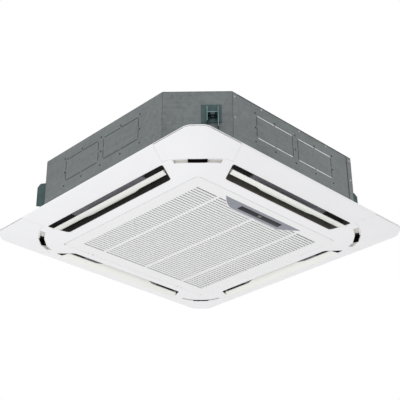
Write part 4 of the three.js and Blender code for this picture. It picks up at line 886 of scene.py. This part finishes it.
class CASSETTE_OT_louvers(Operator):
    """Makes the louvers, and the grey strips of painted shade and the dark foam behind them in the slots"""

    bl_idname = "cassette.louvers"
    bl_label = "Louvers"

    def execute(self, context):
        blade, strip, foam = vane(), outlet_shade_strip(), outlet_foam()
        for k, side in enumerate(SIDES):
            piece(copied(blade, k), f"air_louver_{side}", f"louver_{side}", finishes["louver_ivory"],
                  "louver_ivory", f"louver_{side}")
            piece(copied(strip, k), f"outlet_shade_strip_{side}", "housing", finishes["strip_painted_shade"], "guide_dark")
            piece(copied(foam, k), f"outlet_foam_{side}", "housing", finishes["gasket_foam"], "gasket_foam")
        drop(blade, strip, foam)
        return {"FINISHED"}


# ---- Grille and display --------------------------------------------------------------------


def model_form(node):
    """A closed copy of a model node, in millimetres."""
    bm = bmesh.new()
    bm.from_mesh(frame["nodes"][node].data)
    bmesh.ops.scale(bm, vec=(1000, 1000, 1000), verts=bm.verts[:])
    bmesh.ops.remove_doubles(bm, verts=bm.verts[:], dist=2e-3)
    bmesh.ops.dissolve_limit(bm, angle_limit=radians(0.5), verts=bm.verts[:], edges=bm.edges[:],
                             use_dissolve_boundaries=False)
    return form(bm)


def slat_foot(row):
    """The wide rounded nose of one slat."""
    first, pitch, start, long = -256.495, 11.93, -266.1, 526.8
    y = first + pitch * (row + 0.5)
    left = [(-1.2, -33.5), (-3.9, -36.3), (-4.2, -37.6), (-3.8, -38.5), (-2.7, -38.93)]
    nose = left[1:] + [(-a, z) for a, z in reversed(left)] + left[:1]
    bm = bmesh.new()
    bm.faces.new([bm.verts.new((start, y + a, z)) for a, z in nose])
    raise_by(bm, bm.faces[:], (long, 0, 0))
    return form(closed(bm))


class CASSETTE_OT_grille(Operator):
    """Makes the intake grille with its rounded slats, and the shade at their ends"""

    bl_idname = "cassette.grille"
    bl_label = "Intake grille"

    def execute(self, context):
        slats = 43
        feet = merged([slat_foot(row) for row in range(slats)])
        feet = cut(feet, form(prism(display_outline(2.0), BELOW, ABOVE)))
        grille = add(model_form("intake_grille"), feet)
        piece(grille, "slatted_grille", "grille", finishes["grille_white"], "grille_white", "intake_grille")
        ends = strips([((260.9, 265.4), (-262.0, 262.0), (-31.48, -31.24))], 0.05)
        piece(ends, "slat_end_shade", "grille", finishes["slit_dark_and_shade"], "filter_net")
        return {"FINISHED"}


def display_body(pane):
    """The display's housing with its foot, open for the window."""
    lens = form(soften(closed(prism(display_outline(-0.05), -38.95, -31.1)), 0.9, 3, 40))
    foot = form(block((-15.0, 15.0), (-308.2, -280.0), (-35.9, -33.0)))
    return cut(add(lens, foot), form(prism(pane, BELOW, -37.6, 2.5, 4)))


class CASSETTE_OT_display(Operator):
    """Makes the display's housing, its dark window and the receiver"""

    bl_idname = "cassette.display"
    bl_label = "Display"

    def execute(self, context):
        left, right, front, back, gap = -86.0, 95.0, -269.0, -248.0, 0.4
        shell = display_body(rectangle((left, right), (front, back)))
        piece(shell, "display_shell", "housing", finishes["display_grey"], "display_grey", "display_housing")
        pane = rectangle((left + gap, right - gap), (front + gap, back - gap))
        glass = form(soften(closed(prism(pane, -38.6, -37.4, 2.2, 4)), 0.25, 2, 50))
        piece(glass, "display_glass", "housing", finishes["window_dark"], "window_dark", "display_window")
        plan = rectangle((-4, 9), (-263.5, -253.5))
        eye = form(soften(prism(plan, -38.9, -38.0, 2.0, 4), 0.25, 2, 50))
        piece(eye, "receiver_eye", "housing", finishes["receiver"], "window_dark")
        return {"FINISHED"}


# ---- Casing --------------------------------------------------------------------------------


def wall_level(k):
    """How far the wall of side k lies behind the casing's outline."""
    return LAP if k % 2 == 0 else 0.0


def button(radius, height, steps=14):
    """A low domed head on the Z axis."""
    profile = [(radius * cos(i * pi / 12), height * sin(i * pi / 12)) for i in range(6)] + [(0, height)]
    bm = bmesh.new()
    verts = [bm.verts.new((r, 0, z)) for r, z in profile]
    edges = [bm.edges.new(pair) for pair in zip(verts, verts[1:])]
    bmesh.ops.spin(bm, geom=verts + edges, cent=(0, 0, 0), axis=(0, 0, 1), angle=2 * pi, steps=steps,
                   use_merge=True)
    bmesh.ops.remove_doubles(bm, verts=bm.verts[:], dist=1e-3)
    bmesh.ops.holes_fill(bm, edges=[e for e in bm.edges if e.is_boundary], sides=0)
    return closed(bm)


def on_wall(bm, x, z, setback):
    """Lays a head against the -Y wall."""
    bmesh.ops.rotate(bm, cent=(0, 0, 0), matrix=Matrix.Rotation(pi / 2, 3, "X"), verts=bm.verts[:])
    bmesh.ops.translate(bm, vec=(x, -BODY + setback, z), verts=bm.verts[:])
    return form(bm)


class CASSETTE_OT_seams(Operator):
    """Draws the shade line at each lapped joint of the casing"""

    bl_idname = "cassette.seams"
    bl_label = "Casing seams"

    def execute(self, context):
        flange, corner, bottom_top = 254.4, 275.0, (6, 208.5)
        for k, side in enumerate(SIDES):
            lapped = k % 2 == 0
            x, level = (flange if lapped else corner), -BODY + wall_level(k)
            lines = [((s * x - 0.6, s * x + 0.6), (level - 0.12, level + 0.5), bottom_top) for s in (1, -1)]
            if lapped:
                lines += [((s * 274.7 - 0.7, s * 274.7 + 0.7), (-BODY - 0.1, -BODY + 0.5), bottom_top)
                          for s in (-1, 1)]
            piece(placed(strips(lines, 0.08), k), f"seams_{side}", "housing", finishes["slit_dark_and_shade"],
                  "galvanised_steel")
        return {"FINISHED"}


def slit_edges(level, upright):
    """The cut edges round both knock-outs of the -Y wall, with their bridges left out."""
    height, half_long, half_tall, half_strip = 135, 80, 37.5, 1.25
    bridge, end = 2.5, 33.5 if upright else 76.0
    depth = (level - 0.25, level + 0.6)
    boxes = []
    for centre in (-92, 92):
        for side in (-1, 1):
            for part in (-1, 1):
                near, far = sorted((part * bridge, part * end))
                if upright:
                    x = centre + side * half_long
                    boxes.append(((x - half_strip, x + half_strip), depth, (height + near, height + far)))
                else:
                    z = height + side * half_tall
                    boxes.append(((centre + near, centre + far), depth, (z - half_strip, z + half_strip)))
    return strips(boxes, 0.12)


class CASSETTE_OT_knockouts(Operator):
    """Traces the slits round the knock-outs, bright where the light catches their edges"""

    bl_idname = "cassette.knockouts"
    bl_label = "Knock-outs"

    def execute(self, context):
        for k, side in enumerate(SIDES):
            for upright, name in ((False, "level"), (True, "upright")):
                # Painted highlight: only the level slits of the front and back walls are light, where the
                # light catches them; the rest are dark.
                finish = "cut_edge_highlight" if k % 2 == 0 and not upright else "slit_dark_and_shade"
                slits = placed(slit_edges(-BODY + wall_level(k), upright), k)
                piece(slits, f"slits_{name}_{side}", "housing", finishes[finish], "galvanised_steel")
        return {"FINISHED"}


BRACKET_BACK = -490.32  # just clear of the casing's cut corner, once that is turned to face -Y
BRACKET_DEPTH = 33


def bracket_cheek(x, foot):
    """One upright cheek, from its foot to its sloping head."""
    back, front = BRACKET_BACK - 0.5, BRACKET_BACK - BRACKET_DEPTH
    side = ((back, foot), (front, foot + 4), (front, 138), (BRACKET_BACK - 24, 152), (back, 155))
    bm = bmesh.new()
    bm.faces.new([bm.verts.new((x, y, z)) for y, z in side])
    raise_by(bm, bm.faces[:], (2, 0, 0))
    return form(soften(closed(bm), 0.5, 2))


def bracket_body():
    """The pressed bracket, laid against the -Y wall before it turns to its corner."""
    back = BRACKET_BACK
    plate = form(soften(closed(prism(rectangle((10, 69), (back - 2, back)), 102, 163)), 0.5, 2))
    cheeks = [bracket_cheek(26.5, 86), bracket_cheek(57.5, 66)]
    slot = form(prism(rectangle((37, 49), (back - 40, back - 9)), 110, 130, 3.0, 4))
    shelf = cut(form(block((27, 59), (back - 32.4, back - 0.5), (118, 120))), slot)
    web = form(block((27, 59), (back - 8, back - 6), (126, 151)))
    return add(plate, *cheeks, shelf, web)


def bracket_edges():
    """The front edges of the bracket's cheeks and shelf: bare metal, made much lighter than the bracket as a
    painted highlight.
    """
    front = (BRACKET_BACK - 33.2, BRACKET_BACK - 32.8)
    shelf_front = (BRACKET_BACK - 32.6, BRACKET_BACK - 32.3)
    return strips([((26.8, 28.2), front, (91, 137)), ((57.8, 59.2), front, (71, 137)),
                   ((29.0, 57.0), shelf_front, (118.3, 119.7))], 0.2)


class CASSETTE_OT_brackets(Operator):
    """Makes the hanger brackets with the bare edges of their cheeks, lightened as a painted highlight"""

    bl_idname = "cassette.brackets"
    bl_label = "Hanger brackets"

    def execute(self, context):
        for k, corner in enumerate(CORNERS):
            piece(placed(bracket_body(), k - 0.5), f"hanger_{corner}", "housing",
                  finishes["bracket_steel"], "bracket_steel", f"hanger_bracket_{corner}")
            piece(placed(bracket_edges(), k - 0.5), f"hanger_edge_highlights_{corner}", "housing",
                  finishes["bracket_edge_highlight"], "bracket_steel")
        return {"FINISHED"}


class CASSETTE_OT_fixings(Operator):
    """Adds the pressed dimples, near black as painted shade, and the screws of the casing"""

    bl_idname = "cassette.fixings"
    bl_label = "Casing fixings"

    def execute(self, context):
        details = values()[1]
        dimple, screw = details.dimple * 1000, details.screw * 1000
        places = [(x, z) for z in (180, 82) for x in (-178, -92, 0, 92, 178)]
        places += [(x, 130) for x in (-178, 0, 178)]
        for k, side in enumerate(SIDES):
            # The dimples are near black as painted shade in the pressed hollows.
            row = merged([on_wall(button(dimple, 0.9), x, z, wall_level(k)) for x, z in places])
            piece(placed(row, k), f"dimples_{side}", "housing", finishes["slit_dark_and_shade"], "galvanised_steel",
                  smooth=50)
        screws = [(x, z, 0.0) for x in (-266, 266) for z in (196, 125, 40)]
        screws += [(x, 203, LAP) for x in (22, -150, 150)]
        heads = merged([on_wall(button(screw, 1.8), x, z, setback) for x, z, setback in screws])
        for k in (0, 2):
            piece(copied(heads, k), f"screws_{SIDES[k]}", "housing", finishes["screw_steel"],
                  "galvanised_steel", smooth=50)
        drop(heads)
        return {"FINISHED"}


# ---- Stage ---------------------------------------------------------------------------------


CAMERA_PLACE = (-1.98514, -2.01178, -1.39659)  # metres
CAMERA_TURN = (45.33, 28.18, -0.45)  # degrees: yaw, pitch and roll
FOCAL_PIXELS, FRAME_PIXELS = 976.72, 400
SENSOR = 36.0


def camera_matrix():
    yaw, pitch, roll = [radians(angle) for angle in CAMERA_TURN]
    forward = Vector((cos(pitch) * cos(yaw), cos(pitch) * sin(yaw), sin(pitch)))
    level = Vector((sin(yaw), -cos(yaw), 0))
    upright = level.cross(forward)
    right = cos(roll) * level + sin(roll) * upright
    up = cos(roll) * upright - sin(roll) * level
    return Matrix.Translation(CAMERA_PLACE) @ Matrix((right, up, -forward)).transposed().to_4x4()


def set_camera(scene):
    data = bpy.data.cameras.new("camera")
    data.sensor_width = SENSOR
    data.lens = FOCAL_PIXELS / FRAME_PIXELS * SENSOR
    data.clip_end = 50
    camera = bpy.data.objects.new("camera", data)
    scene.collection.objects.link(camera)
    camera.matrix_world = camera_matrix()
    scene.camera = camera


def set_sky(scene, strength):
    """An even light from all round, which the camera, gloss and glass see as plain white."""
    world = bpy.data.worlds.new("studio")
    scene.world = world
    world.use_nodes = True
    nodes, links = world.node_tree.nodes, world.node_tree.links
    sky = nodes["Background"]
    sky.inputs["Color"].default_value = (1, 1, 1, 1)
    seen = nodes.new("ShaderNodeLightPath")
    either = seen.outputs["Is Camera Ray"]
    for ray in ("Is Glossy Ray", "Is Transmission Ray"):
        larger = nodes.new("ShaderNodeMath")
        larger.operation = "MAXIMUM"
        links.new(either, larger.inputs[0])
        links.new(seen.outputs[ray], larger.inputs[1])
        either = larger.outputs[0]
    level = nodes.new("ShaderNodeMapRange")
    links.new(either, level.inputs["Value"])
    level.inputs["To Min"].default_value = strength
    level.inputs["To Max"].default_value = 1.0
    links.new(level.outputs["Result"], sky.inputs["Strength"])


def lay_floor(depth):
    bm = bmesh.new()
    bmesh.ops.create_grid(bm, x_segments=1, y_segments=1, size=30)
    bmesh.ops.translate(bm, vec=(0, 0, -depth), verts=bm.verts[:])
    floor = form(bm, "floor")
    paint = bpy.data.materials.new("Floor")
    paint.use_nodes = True
    shader = paint.node_tree.nodes["Principled BSDF"]
    shader.inputs["Base Color"].default_value = (0.86, 0.86, 0.86, 1)
    shader.inputs["Roughness"].default_value = 0.9
    floor.data.materials.append(paint)


def lamp(name, place, aim, size, power):
    data = bpy.data.lights.new(name, "AREA")
    data.shape = "SQUARE"
    data.size = size
    data.energy = power
    obj = bpy.data.objects.new(name, data)
    bpy.context.scene.collection.objects.link(obj)
    direction = Vector(aim) - Vector(place)
    facing = direction.to_track_quat("-Z", "Y").to_matrix().to_4x4()
    obj.matrix_world = Matrix.Translation(place) @ facing
    obj.visible_camera = False


class CASSETTE_OT_stage(Operator):
    """Sets the floor, the even light, the lamps and the camera"""

    bl_idname = "cassette.stage"
    bl_label = "Stage"

    def execute(self, context):
        studio = values()[2]
        set_camera(context.scene)
        context.scene.view_settings.view_transform = "Standard"
        set_sky(context.scene, studio.sky)
        lay_floor(studio.floor_depth)
        lamp("key", (-2.6, -0.4, -1.9), (0, 0, 0.0), 2.2, studio.key)
        lamp("fill", (1.6, 1.6, -2.6), (0.2, 0.2, 0.0), 2.0, studio.fill)
        return {"FINISHED"}


class CASSETTE_OT_finishes(Operator):
    """Mixes the finishes and gives each model node its own"""

    bl_idname = "cassette.finishes"
    bl_label = "Finishes"

    def execute(self, context):
        mix_finishes()
        dress_nodes()
        return {"FINISHED"}


class CASSETTE_PT_sidebar(Panel):
    bl_label = "Ceiling cassette"
    bl_idname = "CASSETTE_PT_sidebar"
    bl_space_type = "VIEW_3D"
    bl_region_type = "UI"
    bl_category = "Cassette"

    def draw(self, context):
        for operator in OPERATORS:
            self.layout.operator(operator.bl_idname)
        for group in values():
            box = self.layout.box()
            for name in group.bl_rna.properties.keys():
                if name not in ("rna_type", "name"):
                    box.prop(group, name)


GROUPS = (CassetteColours, CassetteDetails, CassetteStudio)
OPERATORS = (CASSETTE_OT_stage, CASSETTE_OT_finishes, CASSETTE_OT_panel, CASSETTE_OT_covers,
             CASSETTE_OT_louvers, CASSETTE_OT_grille, CASSETTE_OT_display, CASSETTE_OT_seams,
             CASSETTE_OT_knockouts, CASSETTE_OT_brackets, CASSETTE_OT_fixings)


def register():
    for item in (*GROUPS, *OPERATORS, CASSETTE_PT_sidebar):
        bpy.utils.register_class(item)
    bpy.types.Scene.cassette_colours = PointerProperty(type=CassetteColours)
    bpy.types.Scene.cassette_details = PointerProperty(type=CassetteDetails)
    bpy.types.Scene.cassette_studio = PointerProperty(type=CassetteStudio)


def unregister():
    del bpy.types.Scene.cassette_studio
    del bpy.types.Scene.cassette_details
    del bpy.types.Scene.cassette_colours
    for item in reversed((*GROUPS, *OPERATORS, CASSETTE_PT_sidebar)):
        bpy.utils.unregister_class(item)


def main():
    register()
    bpy.ops.cassette.stage()
    bpy.ops.cassette.finishes()
    bpy.ops.cassette.panel()
    bpy.ops.cassette.covers()
    bpy.ops.cassette.louvers()
    bpy.ops.cassette.grille()
    bpy.ops.cassette.display()
    bpy.ops.cassette.seams()
    bpy.ops.cassette.knockouts()
    bpy.ops.cassette.brackets()
    bpy.ops.cassette.fixings()


if __name__ == "__main__":
    main()
